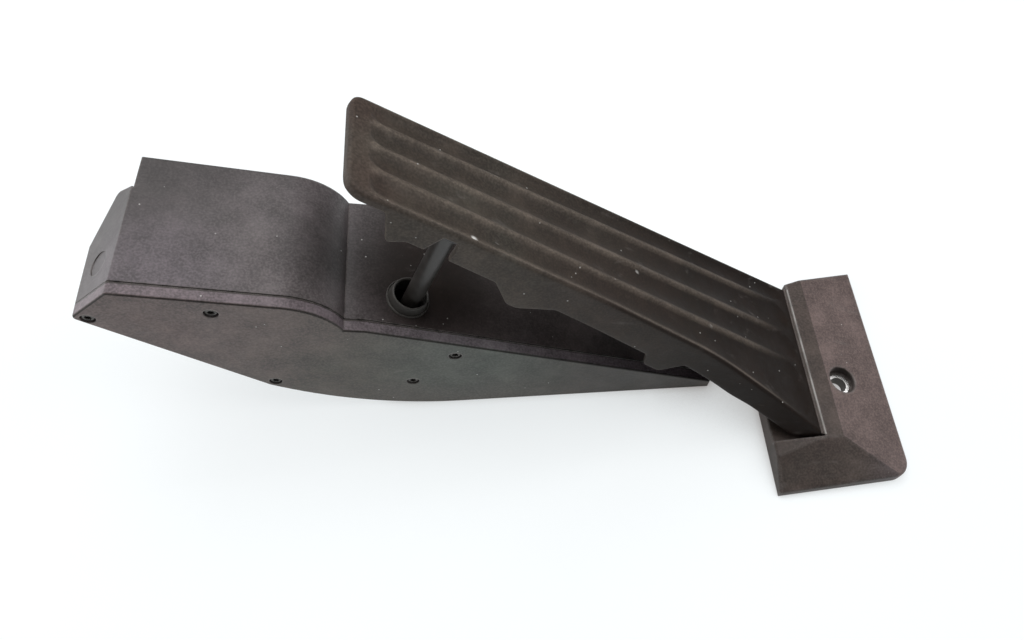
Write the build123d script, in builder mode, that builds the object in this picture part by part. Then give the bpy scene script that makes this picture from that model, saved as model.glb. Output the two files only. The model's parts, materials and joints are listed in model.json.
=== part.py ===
from build123d import *
import os
from math import atan2, cos, degrees, radians, sin, tan

# Floor-hinged accelerator pedal module, in millimetres.
# Origin: the floor bolt's axis at the floor. +X runs towards the heel, +Z is up.
# The tread is hinged to the heel foot and pushes a rod into the sensor housing.

# Housing, side outline in X and Z
SHELL_WALL = 2.5
TOE_X = -53.0
TOE_HEIGHT = 5.2
CAVITY_TOE_X = -75.0
BELLY_X = -158.0
KNEE = (-231.4, 26.0)
TIP = (-280.8, 84.6)
BROW = (-263.9, 98.2)
HUMP = (-213.0, 83.6)
GROOVE = (-195.5, 66.0)
LEDGE_LENGTH = 7.4
LEDGE_DROP = 1.6
TIP_RADIUS = 2.0
BROW_RADIUS = 2.0
EDGE_RADIUS = 0.8

# Housing, across Y
COVER_Y = 5.1
COVER_DEPTH = 4.7
COVER_FACE = 2.0
PARTING_GAP = 0.3
FAR_Y = 61.4

# Cover screws, in X and Z, and the posts that do not reach the far wall
SCREWS = {
    "tip": (-275.5, 83.5),
    "crown": (-236.0, 82.5),
    "knee": (-228.3, 29.2),
    "belly": (-176.0, 22.1),
    "deck": (-158.0, 41.9),
}
SHORT_POSTS = {"tip": 20.0, "knee": 28.0, "belly": 7.0}
POST_RADIUS = 4.5
POST_RIB = 2.4
SCREW_RADIUS = 1.4
SCREW_REACH = 6.0
SCREW_HEAD_RADIUS = 2.3
SCREW_HEAD_HEIGHT = 1.3
SCREW_RECESS_RADIUS = 2.5
SCREW_RECESS_DEPTH = 1.7
DRIVE_RADIUS = 1.0
DRIVE_DEPTH = 0.8
FIT = 0.1

# Seal in the shell's edge
SEAL_WIDTH = 1.1
SEAL_DEPTH = 1.3

# Tread and its film hinge
HINGE_X = -15.0
HINGE_Z = 12.2
FILM_RADIUS = 0.8
TREAD_SLOPE = 37.6
TREAD_LENGTH = 210.0
TREAD_PLATE = 4.0
TREAD_START = 1.2
TREAD_FAR_Y = 43.0
TREAD_HINGE_Y = -24.0
TREAD_TOP_Y = 7.5
NEAR_EDGE = ((20.0, -17.4), (58.0, -5.6), (113.0, 0.8), (160.0, 4.2))
TREAD_CORNER = 6.0

# Skirt under the tread, as runs up the tread and depths below its top
SKIRT_WALL = 2.4
SKIRT_DEPTH = 12.2
SKIRT_START = 3.6
SKIRT_RUN = 40.0
SKIRT_END_RUN = 8.0
HOOK_LOW = 66.0
HOOK_LENGTH = 13.5
HOOK_DEPTH = 21.3
HOOK_SHOULDER = 15.8
BOSS_START = 45.5
BOSS_LOW_DEPTH = 14.5
BOSS_RISE = 11.4
BOSS_FLAT = 4.1
BOSS_DEPTH = 21.4
BOSS_FALL = 10.2
BOSS_HIGH_DEPTH = 13.4
LIP_START = 33.7
LIP_RUN = 5.1
LIP_FALL = 6.5
LIP_DEPTH = 15.8
SKIRT_FILLET = 2.0
NOTCH_START = 23.1
NOTCH_WIDTH = 7.6
RIB_WALL = 2.0
RIB_DEPTH = 6.0
RIB_STATIONS = (35.0, 75.0, 115.0)

# Flutes in the tread's top, parted by ridges that fan out towards the hinge
FLUTE_DEPTH = 1.1
FLUTE_END = 201.0
FLUTE_FADE = 5.0
FLUTE_TAPER = 0.13
FLUTE_BEND = 58.0
RIDGE_WIDTH = 1.3
RIDGES_TOP = (18.0, 26.4, 34.5)
RIDGES_HINGE = (5.0, 18.8, 33.4)
EDGE_LAND = 1.6

# Push rod, its socket under the tread and its collar in the deck
ROD_Y = 21.5
ROD_U = 166.5
ROD_LEAN = 21.8
ROD_RADIUS = 3.5
ROD_LENGTH = 55.0
BALL_RADIUS = 4.6
BALL_DROP = 11.8
TIP_BALL_RADIUS = 3.5
SOCKET_RADIUS = 7.4
SOCKET_LIP = 2.6
SOCKET_THROAT = 0.8
CLEARANCE = 0.3
COLLAR_RADIUS = 8.2
COLLAR_TAPER = 14.0
COLLAR_BORE = 5.9
COLLAR_NECK = 6.9
COLLAR_HEIGHT = 4.2
COLLAR_LIP = 1.0
COLLAR_SOFTENING = 0.4
COLLAR_OFFSET = 1.6

# Sensor lever on its axle
AXLE_X = -229.0
AXLE_Z = 46.0
AXLE_RADIUS = 3.0
AXLE_SINK = 2.6
AXLE_BOSS_RADIUS = 6.0
COVER_BOSS_LENGTH = 4.0
SHELL_BOSS_LENGTH = 7.0
WASHER_RADIUS = 7.5
WASHER_THICKNESS = 1.2
RUNNING_FIT = 0.05
BUSH_RADIUS = 4.5
BUSH_LENGTH = 8.0
HUB_RADIUS = 8.5
ARM_WIDTH = 8.0
ARM_THICKNESS = 3.0
ARM_REACH = 58.0
HORN_WIDTH = 4.0
HORN_HEIGHT = 26.0
HORN_OFFSET = 9.7
HORN_Y = 38.0
HORN_DEPTH = 16.0
FLANGE_RADIUS = 11.4
FLANGE_THICKNESS = 3.0
MAGNET_INNER = 7.6
MAGNET_OUTER = 11.0
MAGNET_THICKNESS = 1.5
MAGNET_ARC = 70.0
MAGNET_CENTRE = 112.0

# Return springs between the horn and a bracket under the hump
SPRING_Z = 63.0
SPRING_BRACKET_X = -203.0
SPRING_BRACKET = 3.5
SPRING_BRACKET_LOW = 53.0
SEAT_RADIUS = 8.5
SEAT_THICKNESS = 2.0
SPIGOT_RADIUS = 2.8
SPIGOT_LENGTH = 5.0
COIL_TURNS = 7
OUTER_COIL = 6.6
OUTER_WIRE = 0.8
INNER_COIL = 4.2
INNER_WIRE = 0.6

# Rest stop for the horn
STOP_PAD_THICKNESS = 3.0
STOP_PAD_HEIGHT = 10.0
STOP_BRACKET = 6.0

# Circuit board on two standoffs, with two sensor chips
BOARD_LEFT = -248.0
BOARD_RIGHT = -214.0
BOARD_BOTTOM = 53.0
BOARD_TOP = 77.0
BOARD_THICKNESS = 1.6
STANDOFF_LENGTH = 2.0
STANDOFF_RADIUS = 3.0
STANDOFF_INSET = 4.5
BOARD_SCREW_RADIUS = 1.1
BOARD_SCREW_HEAD = 2.2
CHIP_SIZE = 4.6
CHIP_THICKNESS = 1.2
CHIP_SPACING = 8.0

# Sloped end wall: a little skewed, cut off at its far end, with the connector in the upright wall behind
END_SKEW = 2.5
END_CUT_Y = 33.0
END_CUT_START = 0.6
END_NOTCH_X = -270.0
END_NOTCH_Y = 50.6
END_NOTCH_ROOT = 47.8
END_NOTCH_ROUND = 2.0
CONNECTOR_Y = 54.9
CONNECTOR_Z = 79.0
CONNECTOR_WIDTH = 7.0
CONNECTOR_HEIGHT = 17.0
CONNECTOR_SINK = 0.3
CONNECTOR_DEPTH = 10.0
SHROUD_WALL = 0.9
SHROUD_DEPTH = 8.0
FLANGE_MARGIN = 0.3
FLANGE_DEPTH = 1.5
PIN_COUNT = 6
PIN_SPACING = 2.4
PIN_SIZE = 0.8
PIN_LENGTH = 6.3
PIN_TAIL = 1.5

# Round moulding mark on the end wall
MARK_Y = 21.0
MARK_RADIUS = 4.5
MARK_DEPTH = 0.3

# Heel foot and its floor bolt
FOOT_LEFT = -34.0
FOOT_RIGHT = 20.0
FOOT_NEAR = -44.0
FOOT_NEAR_SKEW = 4.0
FOOT_FAR = 55.5
FOOT_FAR_SKEW = 15.0
FOOT_HEIGHT = 13.0
FOOT_RIM = 3.6
FOOT_SHOULDER = 10.0
FOOT_RIDGE_X = -7.0
FOOT_SLOPE_NEAR = -25.0
FOOT_WALL = 2.6
FOOT_CORNER = 8.0
FOOT_SOFTENING = 1.2
RECESS_Z = 7.8
RECESS_GAP = 0.6
SLEEVE_BORE = 3.2
SLEEVE_RADIUS = 4.8
SLEEVE_HEIGHT = 5.0
BOLT_SEAT_RADIUS = 5.8
BOLT_BOSS_RADIUS = 8.4

# Tongue that carries the foot on the housing, held by two pegs
TONGUE_NEAR = 14.0
TONGUE_FAR = 36.0
TONGUE_END = 6.0
TONGUE_ROOT = 10.0
TONGUE_THICKNESS = 4.0
PEG_RADIUS = 2.5
PEG_X = -8.0
PEG_SPACING = 12.0

# Places across Y that follow from the sizes above
PARTING_Y = COVER_Y + COVER_DEPTH
SHELL_Y = PARTING_Y + PARTING_GAP
CAVITY_FAR = FAR_Y - SHELL_WALL
COVER_BOSS_END = PARTING_Y + COVER_BOSS_LENGTH
SHELL_BOSS_START = CAVITY_FAR - SHELL_BOSS_LENGTH
HUB_NEAR_Y = COVER_BOSS_END + WASHER_THICKNESS + CLEARANCE
HUB_FAR_Y = SHELL_BOSS_START - CLEARANCE
BOARD_Y = CAVITY_FAR - STANDOFF_LENGTH - BOARD_THICKNESS
HORN_NEAR = HORN_Y - HORN_DEPTH / 2

# Places in the side view
AXLE = (AXLE_X, AXLE_Z)
LEDGE = (GROOVE[0] + LEDGE_LENGTH, GROOVE[1] - LEDGE_DROP)
TOE = (TOE_X, TOE_HEIGHT)
DECK_LEAN = atan2(LEDGE[1] - TOE[1], TOE[0] - LEDGE[0])
SLOPE = radians(TREAD_SLOPE)
PLATE_TOP = FILM_RADIUS
PLATE_BOTTOM = FILM_RADIUS - TREAD_PLATE
FOOT_EDGE = HINGE_X + FILM_RADIUS
HORN_LEFT = AXLE_X - HORN_OFFSET - HORN_WIDTH / 2
HORN_RIGHT = AXLE_X - HORN_OFFSET + HORN_WIDTH / 2
STOP_X = HORN_LEFT - CLEARANCE - STOP_PAD_THICKNESS
STOP_Z = AXLE_Z + HORN_HEIGHT - STOP_PAD_HEIGHT / 2
BEYOND = 400.0


def side_plane(y):
    """Upright plane across Y, with local x along X and local y along Z."""
    return Plane(origin=(0, y, 0), x_dir=(1, 0, 0), z_dir=(0, -1, 0))


def tread_point(u, height):
    """X and Z of a point at distance u up the tread and height along its normal."""
    return (HINGE_X - u * cos(SLOPE) + height * sin(SLOPE), HINGE_Z + u * sin(SLOPE) + height * cos(SLOPE))


def tread_plane(height):
    """Plane parallel to the tread: local x runs up the tread, local y towards the near side."""
    x, z = tread_point(0, height)
    return Plane(origin=(x, 0, z), x_dir=(-cos(SLOPE), 0, sin(SLOPE)), z_dir=(sin(SLOPE), 0, cos(SLOPE)))


def tread_side(y):
    """Upright plane across Y, with local x up the tread and local y along its normal."""
    return Plane(origin=(HINGE_X, y, HINGE_Z), x_dir=(-cos(SLOPE), 0, sin(SLOPE)), z_dir=(0, 1, 0))


def save(part, name):
    """Label a finished piece and write its STEP file."""
    part.label = name
    export_step(part, f"parts/{name}.step")


os.makedirs("parts", exist_ok=True)

# Side outline shared by the shell, the cover and the seal
with BuildSketch() as outline:
    with BuildLine():
        Line((TOE_X, 0), (BELLY_X, 0))
        TangentArc((BELLY_X, 0), KNEE, tangent=(-1, 0))
        Polyline(KNEE, TIP, BROW, HUMP)
        TangentArc(HUMP, GROOVE, tangent=(HUMP[0] - BROW[0], HUMP[1] - BROW[1]))
        Polyline(GROOVE, LEDGE, TOE, (TOE_X, 0))
    make_face()
    fillet(outline.vertices().sort_by_distance(TIP)[0], radius=TIP_RADIUS)
    fillet(outline.vertices().sort_by_distance(BROW)[0], radius=BROW_RADIUS)
OUTLINE = outline.sketch

# Inside of the walls, stopped short of the thin toe
with BuildSketch() as cavity:
    add(OUTLINE)
    offset(amount=-SHELL_WALL)
    with Locations((CAVITY_TOE_X, 0)):
        Rectangle(BEYOND, BEYOND, align=(Align.MAX, Align.CENTER), mode=Mode.INTERSECT)
CAVITY = cavity.sketch

# Middle of the walls, where posts and brackets end
with BuildSketch() as wall_middle:
    add(OUTLINE)
    offset(amount=-SHELL_WALL / 2)
WALL_MIDDLE = wall_middle.sketch

# Ring in the middle of the walls, for the seal and its groove
with BuildSketch() as seal_inside:
    add(OUTLINE)
    offset(amount=-(SHELL_WALL + SEAL_WIDTH) / 2)
with BuildSketch() as seal_ring:
    add(OUTLINE)
    offset(amount=-(SHELL_WALL - SEAL_WIDTH) / 2)
    add(seal_inside.sketch, mode=Mode.SUBTRACT)
SEAL_RING = seal_ring.sketch

# Push rod line: its ball under the tread, its tip in the housing, and the collar on the deck between
LEAN = radians(ROD_LEAN)
ROD_TOP = tread_point(ROD_U, PLATE_TOP - BALL_DROP)
ROD_FOOT = (ROD_TOP[0] - ROD_LENGTH * sin(LEAN), ROD_TOP[1] - ROD_LENGTH * cos(LEAN))
DECK_BELOW = TOE[1] + (TOE[0] - ROD_TOP[0]) * tan(DECK_LEAN)
DECK_REACH = (ROD_TOP[1] - DECK_BELOW) / (cos(LEAN) + sin(LEAN) * tan(DECK_LEAN))
COLLAR_X = ROD_TOP[0] - DECK_REACH * sin(LEAN) - COLLAR_OFFSET * cos(DECK_LEAN)
COLLAR_Z = ROD_TOP[1] - DECK_REACH * cos(LEAN) + COLLAR_OFFSET * sin(DECK_LEAN)
DECK = Plane(origin=(COLLAR_X, ROD_Y, COLLAR_Z), x_dir=(0, 1, 0), z_dir=(sin(DECK_LEAN), 0, cos(DECK_LEAN)))

# Outer face of the end wall: local x runs along the brow to the far side, local y down to the tip
END_RUN = Vector(END_SKEW, FAR_Y - COVER_Y, 0)
END_FALL = Vector(TIP[0] - BROW[0], 0, TIP[1] - BROW[1])
END_FACE = Plane(origin=(BROW[0], COVER_Y, BROW[1]), x_dir=END_RUN, z_dir=END_RUN.cross(END_FALL))


def notch_wall_x(y):
    """X of the upright wall behind the notch, which follows the brow."""
    return BROW[0] + FIT + END_SKEW * (y - COVER_Y) / (FAR_Y - COVER_Y)


def beyond_end(inset):
    """Space beyond the skewed end wall and its cut-off far end, moved in by an inset."""
    with BuildPart() as beyond:
        with BuildSketch(END_FACE.offset(-inset)):
            Rectangle(BEYOND, BEYOND)
        extrude(amount=BEYOND)
        with BuildSketch(Plane.XY) as cut:
            with BuildLine():
                Polyline((-BEYOND, END_CUT_Y), (TIP[0] + END_CUT_START, END_CUT_Y), (END_NOTCH_X, END_NOTCH_Y),
                         (notch_wall_x(END_NOTCH_ROOT), END_NOTCH_ROOT), (notch_wall_x(BEYOND), BEYOND),
                         (-BEYOND, BEYOND), close=True)
            make_face()
            if inset:
                offset(amount=inset, kind=Kind.INTERSECTION)
            else:
                corner = cut.vertices().sort_by_distance((END_NOTCH_X, END_NOTCH_Y))[0]
                fillet(corner, radius=END_NOTCH_ROUND)
        extrude(amount=BEYOND)
    return beyond.part


CONNECTOR = Plane(origin=(notch_wall_x(CONNECTOR_Y), CONNECTOR_Y, CONNECTOR_Z), x_dir=END_RUN,
                  z_dir=(-END_RUN.Y, END_RUN.X, 0))

STANDOFF_Z = BOARD_TOP - STANDOFF_INSET
STANDOFFS = [(BOARD_LEFT + STANDOFF_INSET, STANDOFF_Z), (BOARD_RIGHT - STANDOFF_INSET, STANDOFF_Z)]
TONGUE_Y = (TONGUE_NEAR + TONGUE_FAR) / 2
PEGS = [(PEG_X, TONGUE_Y - PEG_SPACING / 2), (PEG_X, TONGUE_Y + PEG_SPACING / 2)]

# Room inside the housing
with BuildPart() as housing_hollow:
    with BuildSketch(side_plane(SHELL_Y)):
        add(CAVITY)
    extrude(amount=SHELL_Y - CAVITY_FAR)
    add(beyond_end(SHELL_WALL), mode=Mode.SUBTRACT)

# Main housing: an open shell with its posts, bosses, brackets and heel tongue
with BuildPart() as main_housing:
    with BuildSketch(side_plane(SHELL_Y)):
        add(OUTLINE)
    extrude(amount=SHELL_Y - FAR_Y)
    add(beyond_end(0), mode=Mode.SUBTRACT)
    add(housing_hollow.part, mode=Mode.SUBTRACT)
    fillet(main_housing.faces().sort_by(Axis.Y)[-1].edges(), radius=EDGE_RADIUS)
    for name, place in SCREWS.items():
        with BuildSketch(side_plane(PARTING_Y)):
            with Locations(place):
                Circle(POST_RADIUS)
            add(WALL_MIDDLE, mode=Mode.INTERSECT)
        extrude(amount=-SHORT_POSTS.get(name, CAVITY_FAR - PARTING_Y))
    with BuildSketch(side_plane(SHELL_Y)):
        with Locations(SCREWS["belly"]):
            Rectangle(POST_RIB, SCREWS["belly"][1], align=(Align.CENTER, Align.MAX))
        add(WALL_MIDDLE, mode=Mode.INTERSECT)
    extrude(amount=PARTING_GAP - SHORT_POSTS["belly"])
    with BuildSketch(side_plane(PARTING_Y)):
        add(SEAL_RING)
    extrude(amount=-SEAL_DEPTH, mode=Mode.SUBTRACT)
    with BuildSketch(side_plane(PARTING_Y)):
        with Locations(*SCREWS.values()):
            Circle(SCREW_RADIUS + FIT)
    extrude(amount=-SCREW_REACH - FIT, mode=Mode.SUBTRACT)
    with BuildSketch(side_plane(SHELL_BOSS_START)):
        with Locations(AXLE):
            Circle(AXLE_BOSS_RADIUS)
            Circle(AXLE_RADIUS, mode=Mode.SUBTRACT)
    extrude(amount=-SHELL_BOSS_LENGTH)
    with BuildSketch(side_plane(HORN_NEAR)):
        with Locations((STOP_X, STOP_Z + STOP_PAD_HEIGHT / 2)):
            Rectangle(STOP_BRACKET, BEYOND, align=Align.MAX)
        add(WALL_MIDDLE, mode=Mode.INTERSECT)
    extrude(amount=-HORN_DEPTH)
    with BuildSketch(side_plane(HORN_NEAR)):
        with Locations((SPRING_BRACKET_X, SPRING_BRACKET_LOW)):
            Rectangle(SPRING_BRACKET, BEYOND, align=Align.MIN)
        add(WALL_MIDDLE, mode=Mode.INTERSECT)
    extrude(amount=HORN_NEAR - CAVITY_FAR)
    with BuildSketch(side_plane(CAVITY_FAR - STANDOFF_LENGTH)):
        with Locations(*STANDOFFS):
            Circle(STANDOFF_RADIUS)
            Circle(BOARD_SCREW_RADIUS + FIT, mode=Mode.SUBTRACT)
    extrude(amount=-STANDOFF_LENGTH)
    with BuildSketch(DECK):
        Circle(COLLAR_NECK)
    extrude(amount=2 * SHELL_WALL, both=True, mode=Mode.SUBTRACT)
    with BuildSketch(CONNECTOR):
        Rectangle(CONNECTOR_WIDTH + 2 * FIT, CONNECTOR_HEIGHT + 2 * FIT)
    extrude(amount=-2 * SHELL_WALL, mode=Mode.SUBTRACT)
    with BuildSketch(END_FACE):
        with Locations((MARK_Y - COVER_Y, END_FALL.length / 2)):
            Circle(MARK_RADIUS)
    extrude(amount=-MARK_DEPTH, mode=Mode.SUBTRACT)
    with BuildSketch(Plane.XY):
        with Locations((TONGUE_END, TONGUE_Y)):
            Rectangle(TONGUE_END - TOE_X + TONGUE_ROOT, TONGUE_FAR - TONGUE_NEAR,
                      align=(Align.MAX, Align.CENTER))
        with Locations(*PEGS):
            Circle(PEG_RADIUS + FIT, mode=Mode.SUBTRACT)
    extrude(amount=TONGUE_THICKNESS)
save(main_housing.part, "main_housing")

# Side cover: a shallow tray with screw bosses and the near axle boss
with BuildPart() as side_cover:
    with BuildSketch(side_plane(COVER_Y)):
        add(OUTLINE)
    extrude(amount=-COVER_DEPTH)
    with BuildSketch(side_plane(COVER_Y + COVER_FACE)):
        add(CAVITY)
        with Locations(*SCREWS.values()):
            Circle(POST_RADIUS, mode=Mode.SUBTRACT)
        with Locations(AXLE):
            Circle(AXLE_BOSS_RADIUS, mode=Mode.SUBTRACT)
    extrude(amount=COVER_FACE - COVER_DEPTH, mode=Mode.SUBTRACT)
    fillet(side_cover.faces().sort_by(Axis.Y)[0].edges(), radius=EDGE_RADIUS)
    with BuildSketch(side_plane(PARTING_Y)):
        with Locations(AXLE):
            Circle(AXLE_BOSS_RADIUS)
    extrude(amount=-COVER_BOSS_LENGTH)
    with BuildSketch(side_plane(COVER_Y + AXLE_SINK)):
        with Locations(AXLE):
            Circle(AXLE_RADIUS)
    extrude(amount=COVER_Y + AXLE_SINK - COVER_BOSS_END, mode=Mode.SUBTRACT)
    with BuildSketch(side_plane(COVER_Y)):
        with Locations(*SCREWS.values()):
            Circle(SCREW_RECESS_RADIUS)
    extrude(amount=-SCREW_RECESS_DEPTH, mode=Mode.SUBTRACT)
    with BuildSketch(side_plane(COVER_Y)):
        with Locations(*SCREWS.values()):
            Circle(SCREW_RADIUS + FIT)
    extrude(amount=-COVER_DEPTH, mode=Mode.SUBTRACT)
save(side_cover.part, "side_cover")

# Seal that lies in the shell's edge and closes the parting line
with BuildPart() as cover_seal:
    with BuildSketch(side_plane(PARTING_Y)):
        add(SEAL_RING)
    extrude(amount=-SEAL_DEPTH)
save(cover_seal.part, "cover_seal")

# Cover screws with a six-sided drive
with BuildPart() as cover_screws:
    with BuildSketch(side_plane(COVER_Y + SCREW_RECESS_DEPTH)):
        with Locations(*SCREWS.values()):
            Circle(SCREW_HEAD_RADIUS)
    extrude(amount=SCREW_HEAD_HEIGHT)
    with BuildSketch(side_plane(COVER_Y + SCREW_RECESS_DEPTH)):
        with Locations(*SCREWS.values()):
            Circle(SCREW_RADIUS)
    extrude(amount=SCREW_RECESS_DEPTH - COVER_DEPTH - SCREW_REACH)
    with BuildSketch(side_plane(COVER_Y + SCREW_RECESS_DEPTH - SCREW_HEAD_HEIGHT)):
        with Locations(*SCREWS.values()):
            RegularPolygon(DRIVE_RADIUS, 6)
    extrude(amount=-DRIVE_DEPTH, mode=Mode.SUBTRACT)
save(cover_screws.part, "cover_screws")

# Rubber collar that lines the rod's hole in the deck
with BuildPart() as rod_collar:
    with BuildSketch(DECK):
        Circle(COLLAR_RADIUS)
    extrude(amount=COLLAR_HEIGHT, taper=COLLAR_TAPER)
    with BuildSketch(DECK):
        Circle(COLLAR_NECK)
    extrude(amount=-SHELL_WALL)
    with BuildSketch(DECK.offset(-SHELL_WALL)):
        Circle(COLLAR_NECK + COLLAR_LIP)
    extrude(amount=-COLLAR_LIP)
    with BuildSketch(DECK):
        Circle(COLLAR_BORE)
    extrude(amount=2 * COLLAR_RADIUS, both=True, mode=Mode.SUBTRACT)
    rim = rod_collar.faces().sort_by(Axis(DECK.origin, DECK.z_dir))[-1]
    fillet(rim.edges(), radius=COLLAR_SOFTENING)
save(rod_collar.part, "rod_collar")

# Axle pin, held in the cover's boss and the shell's boss, and a washer on the cover's boss
with BuildPart() as axle_pin:
    with BuildSketch(side_plane(COVER_Y + AXLE_SINK)):
        with Locations(AXLE):
            Circle(AXLE_RADIUS)
    extrude(amount=COVER_Y + AXLE_SINK - CAVITY_FAR)
save(axle_pin.part, "axle_pin")

with BuildPart() as friction_washer:
    with BuildSketch(side_plane(COVER_BOSS_END)):
        with Locations(AXLE):
            Circle(WASHER_RADIUS)
            Circle(AXLE_RADIUS + FIT, mode=Mode.SUBTRACT)
    extrude(amount=-WASHER_THICKNESS)
save(friction_washer.part, "friction_washer")

# Sensor lever: hub, pad under the rod's tip, horn for the springs, and flange for the magnet
PAD_LEAN = atan2(ROD_FOOT[1] - AXLE_Z, ROD_FOOT[0] - AXLE_X)
PAD_TOP = -TIP_BALL_RADIUS - CLEARANCE
PAD_ARM = Plane(origin=(AXLE_X, ROD_Y - ARM_WIDTH / 2, AXLE_Z), x_dir=(cos(PAD_LEAN), 0, sin(PAD_LEAN)),
                z_dir=(0, -1, 0))
with BuildPart() as sensor_lever:
    with BuildSketch(side_plane(HUB_NEAR_Y)):
        with Locations(AXLE):
            Circle(HUB_RADIUS)
    extrude(amount=HUB_NEAR_Y - HUB_FAR_Y)
    with BuildSketch(PAD_ARM):
        with BuildLine():
            Polyline((0, PAD_TOP), (ARM_REACH, PAD_TOP), (ARM_REACH, PAD_TOP - ARM_THICKNESS),
                     (HUB_RADIUS, -HUB_RADIUS), (0, -HUB_RADIUS), close=True)
        make_face()
    extrude(amount=-ARM_WIDTH)
    with BuildSketch(side_plane(HORN_NEAR)):
        with Locations((HORN_LEFT, AXLE_Z)):
            Rectangle(HORN_WIDTH, HORN_HEIGHT, align=Align.MIN)
            Rectangle(HORN_OFFSET + HORN_WIDTH, HUB_RADIUS, align=(Align.MIN, Align.CENTER))
    extrude(amount=-HORN_DEPTH)
    with BuildSketch(side_plane(HUB_FAR_Y)):
        with Locations(AXLE):
            Circle(FLANGE_RADIUS)
    extrude(amount=FLANGE_THICKNESS)
    with BuildSketch(side_plane(HUB_NEAR_Y)):
        with Locations(AXLE):
            Circle(BUSH_RADIUS)
    extrude(amount=HUB_NEAR_Y - HUB_FAR_Y, mode=Mode.SUBTRACT)
save(sensor_lever.part, "sensor_lever")

# Two plain bushes in the hub
for name, y in (("hub_bush_near", HUB_NEAR_Y), ("hub_bush_far", HUB_FAR_Y - BUSH_LENGTH)):
    with BuildPart() as bush:
        with BuildSketch(side_plane(y)):
            with Locations(AXLE):
                Circle(BUSH_RADIUS)
                Circle(AXLE_RADIUS + RUNNING_FIT, mode=Mode.SUBTRACT)
        extrude(amount=-BUSH_LENGTH)
    save(bush.part, name)

# Arc magnet on the flange, facing the sensor chips
with BuildPart() as sensor_magnet:
    with BuildSketch(side_plane(HUB_FAR_Y)):
        with BuildLine():
            outer_arc = CenterArc(AXLE, MAGNET_OUTER, MAGNET_CENTRE - MAGNET_ARC / 2, MAGNET_ARC)
            inner_arc = CenterArc(AXLE, MAGNET_INNER, MAGNET_CENTRE - MAGNET_ARC / 2, MAGNET_ARC)
            Line(outer_arc @ 0, inner_arc @ 0)
            Line(outer_arc @ 1, inner_arc @ 1)
        make_face()
    extrude(amount=-MAGNET_THICKNESS)
save(sensor_magnet.part, "sensor_magnet")

# Seat and two nested return springs
SEAT_FACE = Plane(origin=(SPRING_BRACKET_X, HORN_Y, SPRING_Z), x_dir=(0, 1, 0), z_dir=(-1, 0, 0))
with BuildPart() as spring_seat:
    with BuildSketch(SEAT_FACE):
        Circle(SEAT_RADIUS)
    extrude(amount=SEAT_THICKNESS)
    with BuildSketch(SEAT_FACE):
        Circle(SPIGOT_RADIUS)
    extrude(amount=SEAT_THICKNESS + SPIGOT_LENGTH)
save(spring_seat.part, "spring_seat")

SPRING_BASE = SPRING_BRACKET_X - SEAT_THICKNESS
for name, coil, wire in (("return_spring_outer", OUTER_COIL, OUTER_WIRE),
                         ("return_spring_inner", INNER_COIL, INNER_WIRE)):
    rise = SPRING_BASE - HORN_RIGHT - 2 * wire - CLEARANCE
    with BuildPart() as spring:
        with BuildLine() as wire_path:
            Helix(pitch=rise / COIL_TURNS, height=rise, radius=coil,
                  center=(SPRING_BASE - wire, HORN_Y, SPRING_Z), direction=(-1, 0, 0))
        with BuildSketch(Plane(origin=wire_path.line @ 0, z_dir=wire_path.line % 0)):
            Circle(wire)
        sweep(is_frenet=True)
    save(spring.part, name)

# Rubber pad that the lever's horn rests against
with BuildPart() as stop_pad:
    with BuildSketch(side_plane(HORN_NEAR)):
        with Locations((STOP_X, STOP_Z)):
            Rectangle(STOP_PAD_THICKNESS, STOP_PAD_HEIGHT, align=(Align.MIN, Align.CENTER))
    extrude(amount=-HORN_DEPTH)
save(stop_pad.part, "stop_pad")

# Circuit board, its screws and its two sensor chips
with BuildPart() as circuit_board:
    with BuildSketch(side_plane(BOARD_Y)):
        with Locations((BOARD_LEFT, BOARD_BOTTOM)):
            Rectangle(BOARD_RIGHT - BOARD_LEFT, BOARD_TOP - BOARD_BOTTOM, align=Align.MIN)
        with Locations(*STANDOFFS):
            Circle(BOARD_SCREW_RADIUS + FIT, mode=Mode.SUBTRACT)
    extrude(amount=-BOARD_THICKNESS)
save(circuit_board.part, "circuit_board")

with BuildPart() as board_screws:
    with BuildSketch(side_plane(BOARD_Y)):
        with Locations(*STANDOFFS):
            Circle(BOARD_SCREW_HEAD)
    extrude(amount=BOARD_SCREW_RADIUS)
    with BuildSketch(side_plane(BOARD_Y)):
        with Locations(*STANDOFFS):
            Circle(BOARD_SCREW_RADIUS)
    extrude(amount=-BOARD_THICKNESS - STANDOFF_LENGTH)
save(board_screws.part, "board_screws")

with BuildPart() as sensor_chips:
    with BuildSketch(side_plane(BOARD_Y)):
        with Locations((AXLE_X, BOARD_BOTTOM + CHIP_SIZE / 2)):
            with GridLocations(CHIP_SPACING, CHIP_SPACING, 2, 1):
                Rectangle(CHIP_SIZE, CHIP_SIZE)
    extrude(amount=CHIP_THICKNESS)
save(sensor_chips.part, "sensor_chips")

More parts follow.
